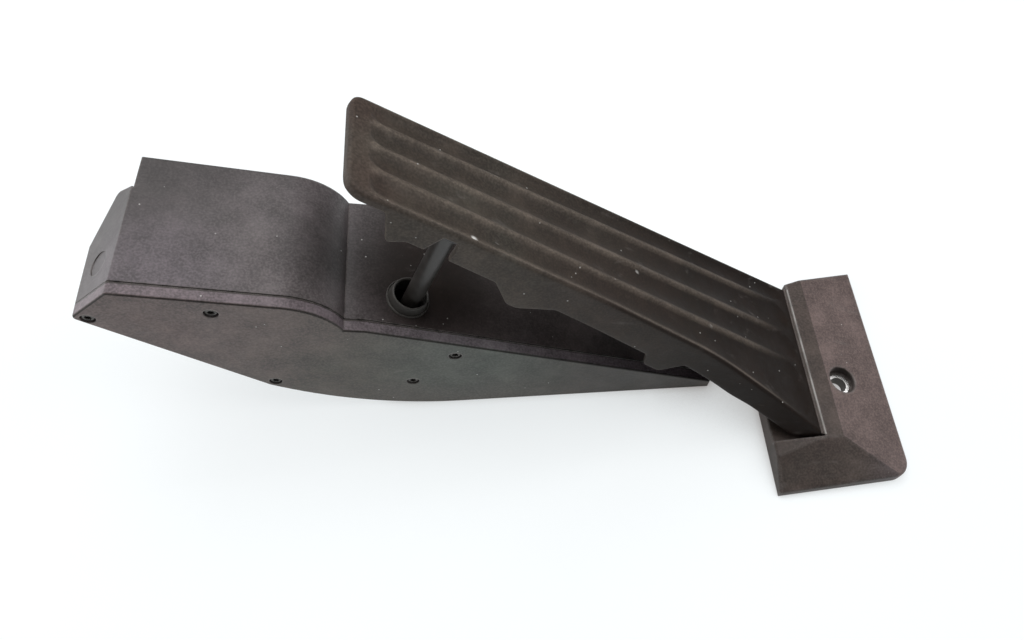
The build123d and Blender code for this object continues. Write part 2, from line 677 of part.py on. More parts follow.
# Connector socket in the upright wall behind the notch, with its contact pins
with BuildPart() as connector_socket:
    with BuildSketch(CONNECTOR.offset(-CONNECTOR_SINK)):
        Rectangle(CONNECTOR_WIDTH, CONNECTOR_HEIGHT)
    extrude(amount=CONNECTOR_SINK - CONNECTOR_DEPTH)
    with BuildSketch(CONNECTOR.offset(-SHELL_WALL)):
        Rectangle(CONNECTOR_WIDTH + 2 * FLANGE_MARGIN, CONNECTOR_HEIGHT + 2 * FLANGE_MARGIN)
    extrude(amount=-FLANGE_DEPTH)
    with BuildSketch(CONNECTOR):
        Rectangle(CONNECTOR_WIDTH - 2 * SHROUD_WALL, CONNECTOR_HEIGHT - 2 * SHROUD_WALL)
    extrude(amount=-SHROUD_DEPTH, mode=Mode.SUBTRACT)
    with BuildSketch(CONNECTOR):
        with GridLocations(PIN_SPACING, PIN_SPACING, 1, PIN_COUNT):
            Rectangle(PIN_SIZE, PIN_SIZE)
    extrude(amount=-2 * CONNECTOR_DEPTH, mode=Mode.SUBTRACT)
save(connector_socket.part, "connector_socket")

with BuildPart() as connector_pins:
    with BuildSketch(CONNECTOR.offset(-CONNECTOR_DEPTH - PIN_TAIL)):
        with GridLocations(PIN_SPACING, PIN_SPACING, 1, PIN_COUNT):
            Rectangle(PIN_SIZE, PIN_SIZE)
    extrude(amount=PIN_LENGTH)
save(connector_pins.part, "connector_pins")

# Push rod with a ball at its top and a rounded tip
ROD_DOWN = (-sin(LEAN), 0, -cos(LEAN))
BALL_CENTRE = (ROD_TOP[0], ROD_Y, ROD_TOP[1])
with BuildPart() as push_rod:
    with BuildSketch(Plane(origin=BALL_CENTRE, z_dir=ROD_DOWN)):
        Circle(ROD_RADIUS)
    extrude(amount=ROD_LENGTH)
    with Locations(BALL_CENTRE):
        Sphere(BALL_RADIUS)
    with Locations((ROD_FOOT[0], ROD_Y, ROD_FOOT[1])):
        Sphere(TIP_BALL_RADIUS)
save(push_rod.part, "push_rod")

# Ball socket under the tread, open towards the rod
with BuildPart() as ball_socket:
    with BuildSketch(tread_plane(PLATE_BOTTOM)):
        with Locations((ROD_U, -ROD_Y)):
            Circle(SOCKET_RADIUS)
    extrude(amount=-(BALL_DROP - TREAD_PLATE + SOCKET_LIP))
    with Locations(BALL_CENTRE):
        Sphere(BALL_RADIUS + CLEARANCE, mode=Mode.SUBTRACT)
    with BuildSketch(Plane(origin=BALL_CENTRE, z_dir=ROD_DOWN)):
        Circle(ROD_RADIUS + SOCKET_THROAT)
    extrude(amount=2 * SOCKET_RADIUS, mode=Mode.SUBTRACT)
save(ball_socket.part, "ball_socket")

# Stations of the near skirt, as distances up the tread
HOOK_HIGH = HOOK_LOW + HOOK_LENGTH
BOSS_LOW = HOOK_HIGH + BOSS_START
BOSS_FOOT = BOSS_LOW + BOSS_RISE
BOSS_HIGH = BOSS_FOOT + BOSS_FLAT + BOSS_FALL
NOTCH_U = BOSS_HIGH + NOTCH_START
LIP_LOW = BOSS_HIGH + LIP_START
LIP_HIGH = LIP_LOW + LIP_RUN
SKIRT_END = LIP_HIGH + LIP_FALL

# Near edge of the tread: distance up the tread, and distance towards the near side
near_edge = [(TREAD_START, -TREAD_HINGE_Y)]
near_edge += [(u, -y) for u, y in NEAR_EDGE]
near_edge += [(TREAD_LENGTH, -TREAD_TOP_Y)]


def near_edge_y(u):
    """Y of the tread's near edge at distance u, between its guide points."""
    for (u0, v0), (u1, v1) in zip(near_edge, near_edge[1:]):
        if u <= u1:
            return -(v0 + (v1 - v0) * (u - u0) / (u1 - u0))
    return -near_edge[-1][1]


def flute_bounds(index, u):
    """Lowest and highest Y of a flute at distance u, counted from the near edge."""
    share = u / TREAD_LENGTH
    ridges = [low * (1 - share) + high * share for low, high in zip(RIDGES_HINGE, RIDGES_TOP)]
    half_ridge = RIDGE_WIDTH / 2
    limits = [near_edge_y(u) + EDGE_LAND - half_ridge] + ridges + [TREAD_FAR_Y - EDGE_LAND + half_ridge]
    return limits[index] + half_ridge, limits[index + 1] - half_ridge


def flute_station(index, u, share):
    """Place, half width and depth of a flute's round-bottomed section at distance u."""
    low, high = flute_bounds(index, u)
    x, z = tread_point(u, PLATE_TOP)
    plane = Plane(origin=(x, (low + high) / 2, z), x_dir=(0, -1, 0), z_dir=(-cos(SLOPE), 0, sin(SLOPE)))
    return plane, (high - low) / 2 * share, FLUTE_DEPTH * share


# Side wall of the tread that faces the camera side, with its hook, stop boss and rod notch
with BuildPart() as near_skirt:
    with BuildSketch(tread_plane(PLATE_BOTTOM)):
        with BuildLine():
            outer_edge = Spline(*near_edge)
            inner_edge = Spline(*[(u, v - SKIRT_WALL) for u, v in near_edge])
            Line(outer_edge @ 0, inner_edge @ 0)
            Line(outer_edge @ 1, inner_edge @ 1)
        make_face()
    extrude(amount=-2 * HOOK_DEPTH)
    with BuildSketch(tread_side(TREAD_HINGE_Y - SKIRT_WALL)) as contour:
        with BuildLine():
            Polyline((SKIRT_START, PLATE_BOTTOM), (SKIRT_RUN, PLATE_TOP - SKIRT_DEPTH),
                     (HOOK_LOW, PLATE_TOP - SKIRT_DEPTH), (HOOK_LOW + SKIRT_FILLET, PLATE_TOP - HOOK_DEPTH),
                     (HOOK_HIGH - SKIRT_FILLET, PLATE_TOP - HOOK_DEPTH),
                     (HOOK_HIGH, PLATE_TOP - HOOK_SHOULDER), (BOSS_LOW, PLATE_TOP - BOSS_LOW_DEPTH),
                     (BOSS_FOOT, PLATE_TOP - BOSS_DEPTH), (BOSS_FOOT + BOSS_FLAT, PLATE_TOP - BOSS_DEPTH),
                     (BOSS_HIGH, PLATE_TOP - BOSS_HIGH_DEPTH), (LIP_LOW, PLATE_TOP - SKIRT_DEPTH),
                     (LIP_HIGH, PLATE_TOP - LIP_DEPTH), (SKIRT_END, PLATE_BOTTOM), close=True)
        make_face()
        fillet(contour.vertices().sort_by(Axis.Y)[0:4], radius=SKIRT_FILLET)
    extrude(amount=BEYOND, mode=Mode.INTERSECT)
    with BuildSketch(tread_side(TREAD_HINGE_Y)):
        with Locations((NOTCH_U, PLATE_BOTTOM - NOTCH_WIDTH / 2)):
            Circle(NOTCH_WIDTH / 2)
            Rectangle(NOTCH_WIDTH, BOSS_DEPTH, align=(Align.CENTER, Align.MAX))
    extrude(amount=BEYOND, mode=Mode.SUBTRACT)

# Pedal tread: plate, both skirts, cross ribs and flutes
with BuildPart() as pedal_tread:
    with BuildSketch(tread_plane(PLATE_TOP)):
        with BuildLine():
            edge = Spline(*near_edge)
            Polyline(edge @ 1, (TREAD_LENGTH, -TREAD_FAR_Y), (TREAD_START, -TREAD_FAR_Y), edge @ 0)
        make_face()
    extrude(amount=-TREAD_PLATE)
    top_end = pedal_tread.edges().filter_by(Axis((0, 0, 0), (sin(SLOPE), 0, cos(SLOPE)))).sort_by(Axis.Z)[-2:]
    fillet(top_end, radius=TREAD_CORNER)
    with BuildSketch(tread_side(TREAD_FAR_Y - SKIRT_WALL)):
        with BuildLine():
            Polyline((SKIRT_START, PLATE_BOTTOM), (SKIRT_RUN, PLATE_TOP - SKIRT_DEPTH),
                     (SKIRT_END - SKIRT_END_RUN, PLATE_TOP - SKIRT_DEPTH), (SKIRT_END, PLATE_BOTTOM),
                     close=True)
        make_face()
    extrude(amount=SKIRT_WALL)
    add(near_skirt.part)
    for u in RIB_STATIONS:
        with BuildSketch(tread_plane(PLATE_BOTTOM)):
            near = -near_edge_y(u) - SKIRT_WALL / 2
            with Locations((u, near)):
                Rectangle(RIB_WALL, near + TREAD_FAR_Y - SKIRT_WALL / 2, align=(Align.CENTER, Align.MAX))
        extrude(amount=-RIB_DEPTH)
    for index in range(len(RIDGES_TOP) + 1):
        for u, share in ((0, 1), (FLUTE_BEND, 1), (FLUTE_END, 1), (FLUTE_END + FLUTE_FADE, FLUTE_TAPER)):
            plane, half, depth = flute_station(index, u, share)
            with BuildSketch(plane):
                with BuildLine():
                    ThreePointArc((-half, 0), (0, -depth), (half, 0))
                    Polyline((half, 0), (half, TREAD_PLATE), (-half, TREAD_PLATE), (-half, 0))
                make_face()
        loft(ruled=True, mode=Mode.SUBTRACT)
save(pedal_tread.part, "pedal_tread")

# Film hinge: the thin bending line between the tread and the foot
with BuildPart() as film_hinge:
    with BuildSketch(side_plane(TREAD_HINGE_Y)):
        with Locations((HINGE_X, HINGE_Z)):
            Circle(FILM_RADIUS)
    extrude(amount=TREAD_HINGE_Y - TREAD_FAR_Y)
save(film_hinge.part, "film_hinge")


def foot_form(inset):
    """Hipped block of the heel foot, drawn in by an inset."""
    near, far = FOOT_NEAR + inset, FOOT_FAR - inset
    left, right = FOOT_LEFT + inset, FOOT_RIGHT - inset
    top, rim, shoulder = FOOT_HEIGHT - inset, FOOT_RIM - inset, FOOT_SHOULDER - inset
    above = 2 * FOOT_HEIGHT
    with BuildPart() as form:
        with BuildSketch(Plane.XY) as plan:
            with BuildLine():
                Polyline((left, near), (right, near + FOOT_NEAR_SKEW), (right, far), (left, far - FOOT_FAR_SKEW),
                         close=True)
            make_face()
            near_right = plan.vertices().sort_by(Axis.X)[-2:].sort_by(Axis.Y)[0]
            fillet(near_right, radius=FOOT_CORNER - inset)
        extrude(amount=top)
        with BuildSketch(side_plane(0)):
            with BuildLine():
                Polyline((FOOT_RIDGE_X, top), (right, rim), (right, above), (FOOT_RIDGE_X, above), close=True)
            make_face()
            with BuildLine():
                Polyline((HINGE_X, top), (left, shoulder), (left, above), (HINGE_X, above), close=True)
            make_face()
        extrude(amount=BEYOND, both=True, mode=Mode.SUBTRACT)
        with BuildSketch(Plane.YZ):
            with BuildLine():
                Polyline((FOOT_SLOPE_NEAR, top), (near, rim), (near, above), (FOOT_SLOPE_NEAR, above),
                         close=True)
            make_face()
        extrude(amount=BEYOND, both=True, mode=Mode.SUBTRACT)
    return form


# Outer block of the foot, with softened hips and shoulders
with BuildPart() as foot_block:
    add(foot_form(0).part)
    upper_edges = foot_block.edges().filter_by(lambda edge: edge.center().Z > FOOT_RIM / 2 + FOOT_SOFTENING)
    fillet(upper_edges, radius=FOOT_SOFTENING)
FOOT_BLOCK = foot_block.part

# Hollow under the foot, kept below the recess for the tread's end
with BuildPart() as foot_hollow:
    add(foot_form(FOOT_WALL).part)
    with BuildSketch(Plane.XY.offset(RECESS_Z - FOOT_WALL)):
        with Locations((FOOT_EDGE + FOOT_WALL, TREAD_HINGE_Y - RECESS_GAP - FOOT_WALL)):
            Rectangle(BEYOND, BEYOND, align=(Align.MAX, Align.MIN))
    extrude(amount=FOOT_HEIGHT, mode=Mode.SUBTRACT)

with BuildPart() as bolt_boss:
    with BuildSketch(Plane.XY):
        Circle(BOLT_BOSS_RADIUS)
    extrude(amount=FOOT_HEIGHT)
    add(FOOT_BLOCK, mode=Mode.INTERSECT)

with BuildPart() as foot_pegs:
    with BuildSketch(Plane.XY):
        with Locations(*PEGS):
            Circle(PEG_RADIUS)
    extrude(amount=FOOT_HEIGHT)
    add(FOOT_BLOCK, mode=Mode.INTERSECT)

# Heel foot: hipped shell with a recess for the tread's end, a bolt boss and two pegs
with BuildPart() as heel_foot:
    add(FOOT_BLOCK)
    add(foot_hollow.part, mode=Mode.SUBTRACT)
    with BuildSketch(Plane.XY.offset(RECESS_Z)):
        with Locations((FOOT_EDGE, TREAD_HINGE_Y - RECESS_GAP)):
            Rectangle(BEYOND, BEYOND, align=(Align.MAX, Align.MIN))
    extrude(amount=FOOT_HEIGHT, mode=Mode.SUBTRACT)
    with BuildSketch(Plane.XY):
        with Locations((FOOT_LEFT, TONGUE_Y)):
            Rectangle(2 * FOOT_WALL + CLEARANCE, TONGUE_FAR - TONGUE_NEAR + 2 * CLEARANCE)
    extrude(amount=TONGUE_THICKNESS + CLEARANCE, mode=Mode.SUBTRACT)
    add(bolt_boss.part)
    add(foot_pegs.part)
    with BuildSketch(Plane.XY):
        Circle(SLEEVE_RADIUS)
    extrude(amount=SLEEVE_HEIGHT, mode=Mode.SUBTRACT)
    with BuildSketch(Plane.XY.offset(SLEEVE_HEIGHT)):
        Circle(BOLT_SEAT_RADIUS)
    extrude(amount=FOOT_HEIGHT, mode=Mode.SUBTRACT)
save(heel_foot.part, "heel_foot")

# Steel sleeve that takes the floor bolt
with BuildPart() as bolt_sleeve:
    with BuildSketch(Plane.XY):
        Circle(SLEEVE_RADIUS)
        Circle(SLEEVE_BORE, mode=Mode.SUBTRACT)
    extrude(amount=SLEEVE_HEIGHT)
save(bolt_sleeve.part, "bolt_sleeve")

# Places of the joints, for whoever assembles the part
print("rod ball", BALL_CENTRE, "rod tip", ROD_FOOT)
print("collar", (COLLAR_X, COLLAR_Z), "pad angle", degrees(PAD_LEAN))
print("connector", CONNECTOR.origin, "axis", CONNECTOR.z_dir)
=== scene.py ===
"""Dressed model of a floor-hinged accelerator pedal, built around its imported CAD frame."""

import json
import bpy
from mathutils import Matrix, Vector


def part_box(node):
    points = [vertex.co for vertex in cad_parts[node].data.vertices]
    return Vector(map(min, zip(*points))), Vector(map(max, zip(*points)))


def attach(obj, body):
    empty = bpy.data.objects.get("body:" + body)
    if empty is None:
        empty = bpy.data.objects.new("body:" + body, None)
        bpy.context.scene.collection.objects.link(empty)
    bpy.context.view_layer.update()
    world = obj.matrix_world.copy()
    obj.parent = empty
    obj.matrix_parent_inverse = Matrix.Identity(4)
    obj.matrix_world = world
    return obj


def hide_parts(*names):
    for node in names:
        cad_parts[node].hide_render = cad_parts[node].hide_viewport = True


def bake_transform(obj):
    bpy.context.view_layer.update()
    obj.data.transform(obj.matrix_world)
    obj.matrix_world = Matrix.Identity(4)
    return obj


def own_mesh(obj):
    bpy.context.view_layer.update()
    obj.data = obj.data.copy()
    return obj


bl_info = {
    "name": "Accelerator Pedal",
    "version": (1, 0, 0),
    "blender": (4, 5, 0),
    "location": "View3D > Sidebar > Pedal",
    "description": "Dresses the packed accelerator pedal with finished pieces, materials and a studio",
    "category": "Object",
}

from math import cos, pi, radians, sin

import bmesh
import bpy
import numpy as np
from bpy.props import FloatProperty, FloatVectorProperty, IntProperty, PointerProperty
from mathutils import Vector

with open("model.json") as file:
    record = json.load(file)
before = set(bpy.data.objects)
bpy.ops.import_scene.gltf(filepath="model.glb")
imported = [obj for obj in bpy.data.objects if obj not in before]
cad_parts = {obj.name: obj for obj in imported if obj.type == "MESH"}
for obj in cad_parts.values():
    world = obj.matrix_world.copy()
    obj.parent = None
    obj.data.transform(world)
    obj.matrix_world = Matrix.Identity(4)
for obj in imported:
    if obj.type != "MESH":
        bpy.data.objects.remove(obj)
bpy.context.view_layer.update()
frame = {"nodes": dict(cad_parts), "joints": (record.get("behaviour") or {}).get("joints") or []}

MM = 0.001
HINGE = next(joint for joint in frame["joints"] if joint["name"] == "pedal_hinge")

# Tread's near edge: distance up the tread and place across it, in millimetres
NEAR_EDGE = ((-20, -31.4), (1.2, -24.0), (20, -17.4), (58, -5.6), (113, 0.8), (160, 4.2), (210, 7.5),
             (230, 8.8))

# Lower line of the near skirt with its hook, stop boss and rod notch: distance up the tread and depth below
# its top
NEAR_SKIRT = ((0, 4), (1.5, 5.6), (10, 9.0), (40, 12.2), (66, 12.2), (68, 21.3), (77.5, 21.3), (79.5, 15.8),
              (125, 14.5), (136.4, 21.4), (140.5, 21.4), (150.7, 13.4), (169.8, 12.7), (170.2, 4), (177.4, 4),
              (177.8, 12.4), (184.4, 12.2), (189.5, 15.8), (196, 4), (230, 4))
FAR_SKIRT = ((0, 4), (3.6, 4), (40, 12.2), (188, 12.2), (196, 4), (230, 4))

# Ridges between the flutes, across the tread, at its hinge and at its top
RIDGES_HINGE = (5.0, 18.8, 33.4)
RIDGES_TOP = (18.0, 26.4, 34.5)

# Cross ribs under the tread: distance up the tread
RIBS = (35, 75, 115)

# Section of the rod's collar, from its axis and above the deck: bore, rim, tapered ring, groove, lip and neck
COLLAR_SECTION = ((5.9, -3.4), (5.9, 3.3), (6.0, 3.75), (6.3, 4.1), (6.6, 4.15), (6.85, 3.95), (6.98, 3.5),
                  (7.35, 0.9), (7.42, 0.35), (7.5, 0.15), (7.66, 0.15), (7.74, 0.4), (7.86, 0.62),
                  (8.02, 0.66), (8.16, 0.5), (8.2, 0.0), (6.9, 0.0), (6.9, -2.5), (7.8, -2.5), (7.8, -3.4))

# How far the near skirt flares out towards its foot: distance up the tread and flare, full at one depth
FLARE = ((1.2, 0.3), (8, 2.4), (30, 0))
FLARE_DEPTH = 9.0

# Reach over which corners are rounded in the near edge, in the skirts and, up to one station, at the hook
EDGE_EASE, SKIRT_EASE, HOOK_EASE = 12.0, 0.9, 2.0
HOOK_STATION = 100

# Painted shadow line along the near edge: distance up the tread and strength
SHADOW_LINE = ((34, 0), (46, 1), (108, 1), (116, 0))

# Chips in the tread's top: distance up the tread, place across it, and radius
CHIPS = ((167.7, 7.3, 0.75), (158.0, 9.0, 0.35), (96.0, 20.0, 0.3), (60.0, 8.0, 0.4))

# Sizes of the patterns on moulded plastic, in metres
BLOTCH, PATCH, CLOUD, RUB, MOTTLE, GRIT = 0.06, 0.024, 0.013, 0.004, 0.0032, 0.0008

# Painted shadow in the floor's glow, under the tread's hinge end: middle and reach in millimetres
FLOOR_SHADE = ((-45, -8, 0), 70)

# Soft lamps round the stage: name, direction on the floor and angle above it in degrees, and power in watts
LAMPS = (("top", 0, 88, 3.8), ("left_low", 165, 12, 5.2), ("left_high", 158, 48, 3.0), ("right", 0, 46, 4.2),
         ("back", 98, 60, 5.0), ("front", 315, 62, 1.2), ("front_low", 225, 12, 1.6))

# Section of the film hinge, in X and Z: two raised lines on top with a groove between, then the underside,
# and how white bending has made each point
FILM_SECTION = ((-13.4, 12.9), (-13.7, 13.22), (-14.0, 13.26), (-14.35, 12.98), (-14.75, 12.98),
                (-15.1, 13.6), (-15.45, 13.82), (-16.1, 14.05), (-15.7, 12.7), (-15.0, 11.5), (-14.0, 12.0))
FILM_WHITE = (0.1, 0.5, 0.6, 0.1, 0, 0.05, 0.1, 0, 0, 0, 0)

# Lines and strips along the upward sides of the shell and its cover: start, full, end and limit of each
# across Y in millimetres, its share and its colour
SHELL_BANDS = ((5, 6, 10.0, 10.5, 0.92, "grime_and_shade"),)
# On the cover: a pale painted highlight strip along the rim, a painted shadow line at its front edge and the
# dark joint at the parting line
COVER_BANDS = ((5.3, 5.9, 9.2, 9.5, 0.6, "bloom"), (4, 5, 5.25, 5.85, 0.92, "grime_and_shade"),
               (9.0, 9.4, 20, 21, 0.92, "grime_and_shade"))

# Soft spots of stain and of painted light and shade: place and reach in millimetres, share and colour
# On the shell all are painted light: painted shade at the crown's far upper left, a painted sheen and a
# painted highlight on the crown, painted shade on its flank and on the deck under the tread
SHELL_PAINTED_LIGHT = (((-262, 52, 98), 62, 0.42, "grime_and_shade"), ((-214, 28, 100), 44, 0.3, "pale"),
                ((-250, 14, 98), 34, 0.4, "bloom"), ((-194, 34, 78), 28, 0.6, "grime_and_shade"),
                ((-166, 34, 56), 40, 0.95, "dark_brown"))
# On the cover: lighter and warm at the left, darker at the right, a painted falloff of light along with a
# real change of hue
COVER_HUE_AND_PAINTED_LIGHT = (((-262, 5, 80), 84, 1.0, "warm"), ((-206, 5, 70), 34, 0.25, "warm"),
                ((-150, 5, 40), 60, 0.7, "cool"), ((-85, 5, 20), 62, 0.62, "grime_and_shade"))
# On the tread: reddish brown dirt, and darker towards its hinge end
TREAD_STAINS = (((-181, 36, 140), 16, 0.5, "rust"), ((-176, 14, 136), 14, 0.35, "rust"),
                ((-100, 8, 70), 45, 0.3, "rust"), ((-40, 10, 30), 60, 0.5, "dark_brown"))
# On the foot all are painted light: a lighter warm right slope, a painted highlight at the front right and
# painted shade at the near left
FOOT_PAINTED_LIGHT = (((18, 20, 4), 26, 0.35, "warm"), ((16, -38, 5), 20, 0.2, "bloom"),
               ((-26, -26, 10), 24, 0.3, "dark_brown"))


def millimetres(name, description, default):
    """A length in millimetres that a user can change."""
    return FloatProperty(name=name, description=description, default=default)


def colour(name, description, default):
    """A colour that a user can change."""
    return FloatVectorProperty(name=name, description=description, default=default, subtype="COLOR", size=3)


class TreadSizes(bpy.types.PropertyGroup):
    """Sizes of the fluted tread, in millimetres along its own surface"""

    slope: FloatProperty(name="Slope", description="Angle of the tread above the floor", subtype="ANGLE",
                         default=radians(37.6))
    start: millimetres("Start", "Distance from the hinge to the tread's end", 1.2)
    length: millimetres("Length", "Distance from the hinge to the top end", 210.0)
    far_edge: millimetres("Far Edge", "Place of the far edge across the tread", 43.0)
    top: millimetres("Top", "Height of the top above the hinge line", 0.8)
    plate: millimetres("Plate", "Thickness of the plate", 4.0)
    wall: millimetres("Skirt Wall", "Thickness of the skirts", 2.4)
    edge_round: millimetres("Edge Round", "Radius of the upper edges", 1.3)
    corner: millimetres("Corner", "Radius of the top end's near corner", 6.0)
    far_corner: millimetres("Far Corner", "Radius of the top end's far corner", 4.2)
    rib_wall: millimetres("Rib Wall", "Thickness of the cross ribs", 2.0)
    rib_depth: millimetres("Rib Depth", "Depth of the cross ribs below the plate", 6.0)
    flute_depth: millimetres("Flute Depth", "Depth of a flute at its middle", 1.3)
    flute_end: millimetres("Flute End", "Distance up the tread where the flutes end", 203.5)
    flute_bowl: millimetres("Flute Bowl", "Length of a flute's scooped end", 6.0)
    ridge_width: millimetres("Ridge Width", "Width of the ridges between flutes", 1.5)
    edge_land: millimetres("Edge Land", "Flat left along both edges", 1.6)


class HousingSizes(bpy.types.PropertyGroup):
    """Edge softening of the moulded pieces"""

    softening: FloatProperty(name="Softening", description="Width of the rounding on moulded edges",
                             default=0.0005, unit="LENGTH")
    foot_softening: FloatProperty(name="Foot Softening",
                                  description="Width of the rounding on the foot's edges",
                                  default=0.0006, unit="LENGTH")
    smooth_angle: FloatProperty(name="Smooth Angle", description="Edges sharper than this are rounded",
                                default=radians(34), subtype="ANGLE")


class CollarSizes(bpy.types.PropertyGroup):
    """Place of the rod's collar on the deck"""

    place: FloatVectorProperty(name="Place", description="Middle of the collar on the deck",
                               subtype="TRANSLATION", size=3, default=(-0.174076, 0.0215, 0.058255))
    lean: FloatProperty(name="Lean", description="Slope of the deck", default=radians(23.66), subtype="ANGLE")
    sides: IntProperty(name="Sides", description="Number of steps around the collar", default=96)


class ScrewSizes(bpy.types.PropertyGroup):
    """Sizes of a cover screw, in millimetres"""

    head: millimetres("Head", "Radius of the head", 2.3)
    head_height: millimetres("Head Height", "Height of the head", 1.3)
    drive: millimetres("Drive", "Mean radius of the lobed drive", 1.15)
    drive_depth: millimetres("Drive Depth", "Depth of the drive", 0.9)
    shank: millimetres("Shank", "Radius of the shank", 1.4)
    shank_length: millimetres("Shank Length", "Length below the head", 9.0)
    seed: IntProperty(name="Seed", description="Picks how far each screw is turned", default=7)


class SpringSizes(bpy.types.PropertyGroup):
    """Travel of the return springs; no step of the script reads it"""

    pressed: FloatProperty(name="Pressed", description="Share of a spring's length left at the lever's limit",
                           default=0.34, subtype="FACTOR", min=0.01, max=1.0)


class PlasticLooks(bpy.types.PropertyGroup):
    """Colours of the moulded plastics"""

    housing: colour("Housing", "Shell of the housing", (0.083, 0.072, 0.074))
    cover: colour("Cover", "Side cover", (0.074, 0.063, 0.051))
    tread: colour("Tread", "Fluted tread", (0.060, 0.049, 0.040))
    foot: colour("Foot", "Heel foot", (0.058, 0.044, 0.038))
    # Besides the brownish tone, also painted light: lighter warm patches on the cover's left and the foot's
    # right slope
    warm: colour("Warm Tone And Painted Light", "Brownish tone of the plastic, also painted light on lit sides", (0.132, 0.098, 0.092))
    cool: colour("Cool Stain", "Greenish grey bloom on the plastic", (0.062, 0.078, 0.066))
    # Painted highlight: a pale lavender sheen on upward sides and lit spots
    bloom: colour("Painted Sheen", "Pale lavender painted highlight on upward sides and lit spots", (0.155, 0.128, 0.150))
    rust: colour("Rust Stain", "Reddish brown dirt on the tread", (0.050, 0.029, 0.024))
    # Painted shade on the deck under the tread, in the flute bottoms and on the foot's near side; also
    # darkens the tread towards its hinge end
    dark_brown: colour("Dark Brown", "Dark brown for painted shade on the deck, in the flutes and on shaded sides, and darker towards the tread's hinge end", (0.0085, 0.0045, 0.0030))
    wear: colour("Wear", "Rubbed edges and scuffs", (0.20, 0.18, 0.17))
    # Also the painted shade in corners, in shadow lines and on shaded spots
    grime_and_shade: colour("Grime And Shade", "Dark grain and joints, and painted shade in corners and shaded spots", (0.012, 0.010, 0.009))
    dust: colour("Dust", "Pale specks", (0.55, 0.54, 0.52))


class StageLooks(bpy.types.PropertyGroup):
    """Camera, light and floor of the studio"""

    camera: FloatVectorProperty(name="Camera", description="Place of the camera",
                                subtype="TRANSLATION", size=3, default=(-0.1453, -0.1317, 0.3111))
    aim: FloatVectorProperty(name="Aim", description="Point on the floor that the camera looks at",
                             subtype="TRANSLATION", size=3, default=(-0.1342, 0.0428, 0.0))
    lens: FloatProperty(name="Lens", description="Focal length", default=28.125, unit="CAMERA")
    light: FloatProperty(name="Light", description="Strength of all the lamps together", default=1.0)
    lamp_size: FloatProperty(name="Lamp Size", description="Width of each lamp", default=0.7, unit="LENGTH")
    lamp_reach: FloatProperty(name="Lamp Reach", description="Distance of each lamp", default=1.1,
                              unit="LENGTH")
    glow: FloatProperty(name="Floor Glow", description="Light of the floor itself", default=0.72)
    glow_tint: colour("Glow Tint", "Colour of the floor's own light", (0.955, 0.99, 1.0))
    floor: colour("Floor", "Colour of the floor", (0.27, 0.28, 0.285))
    shade: colour("Shade", "Painted shadow in the floor's glow close under the pedal", (0.24, 0.20, 0.18))


class Socket:
    """An output of a node; arithmetic on it adds Math nodes to the same tree."""

    def __init__(self, bench, link):
        self.bench = bench
        self.link = link

    def maths(self, operation, *terms):
        return self.bench.add("ShaderNodeMath", {"operation": operation}, dict(enumerate(terms)))

    def __add__(self, other):
        return self.maths("ADD", self, other)

    def __sub__(self, other):
        return self.maths("SUBTRACT", self, other)

    def __rsub__(self, other):
        return self.maths("SUBTRACT", other, self)

    def __mul__(self, other):
        return self.maths("MULTIPLY", self, other)

    def __truediv__(self, other):
        return self.maths("DIVIDE", self, other)

    def __pow__(self, other):
        return self.maths("POWER", self, other)

    __radd__ = __add__
    __rmul__ = __mul__

    def at_least(self, other):
        return self.maths("MAXIMUM", self, other)

    def at_most(self, other):
        return self.maths("MINIMUM", self, other)

    def rise(self, low, high):
        """0 below low, 1 above high, and a smooth step between; falls where low is the larger."""
        return self.bench.add("ShaderNodeMapRange", {"interpolation_type": "SMOOTHSTEP"},
                              {"Value": self, "From Min": low, "From Max": high}, "Result")


class Bench:
    """Adds nodes to a shader or geometry tree."""

    def __init__(self, tree):
        self.tree = tree

    def add(self, kind, settings=None, inputs=None, output=0):
        """A node of one type, with its settings set first, then its inputs; gives one output."""
        made = self.tree.nodes.new(kind)
        for name, value in (settings or {}).items():
            setattr(made, name, value)
        for key, value in (inputs or {}).items():
            socket = made.inputs[key]
            if isinstance(value, Socket):
                self.tree.links.new(value.link, socket)
            elif socket.type == "RGBA":
                socket.default_value = (*value, 1.0)
            else:
                socket.default_value = value
        return Socket(self, made.outputs[output]) if len(made.outputs) else made


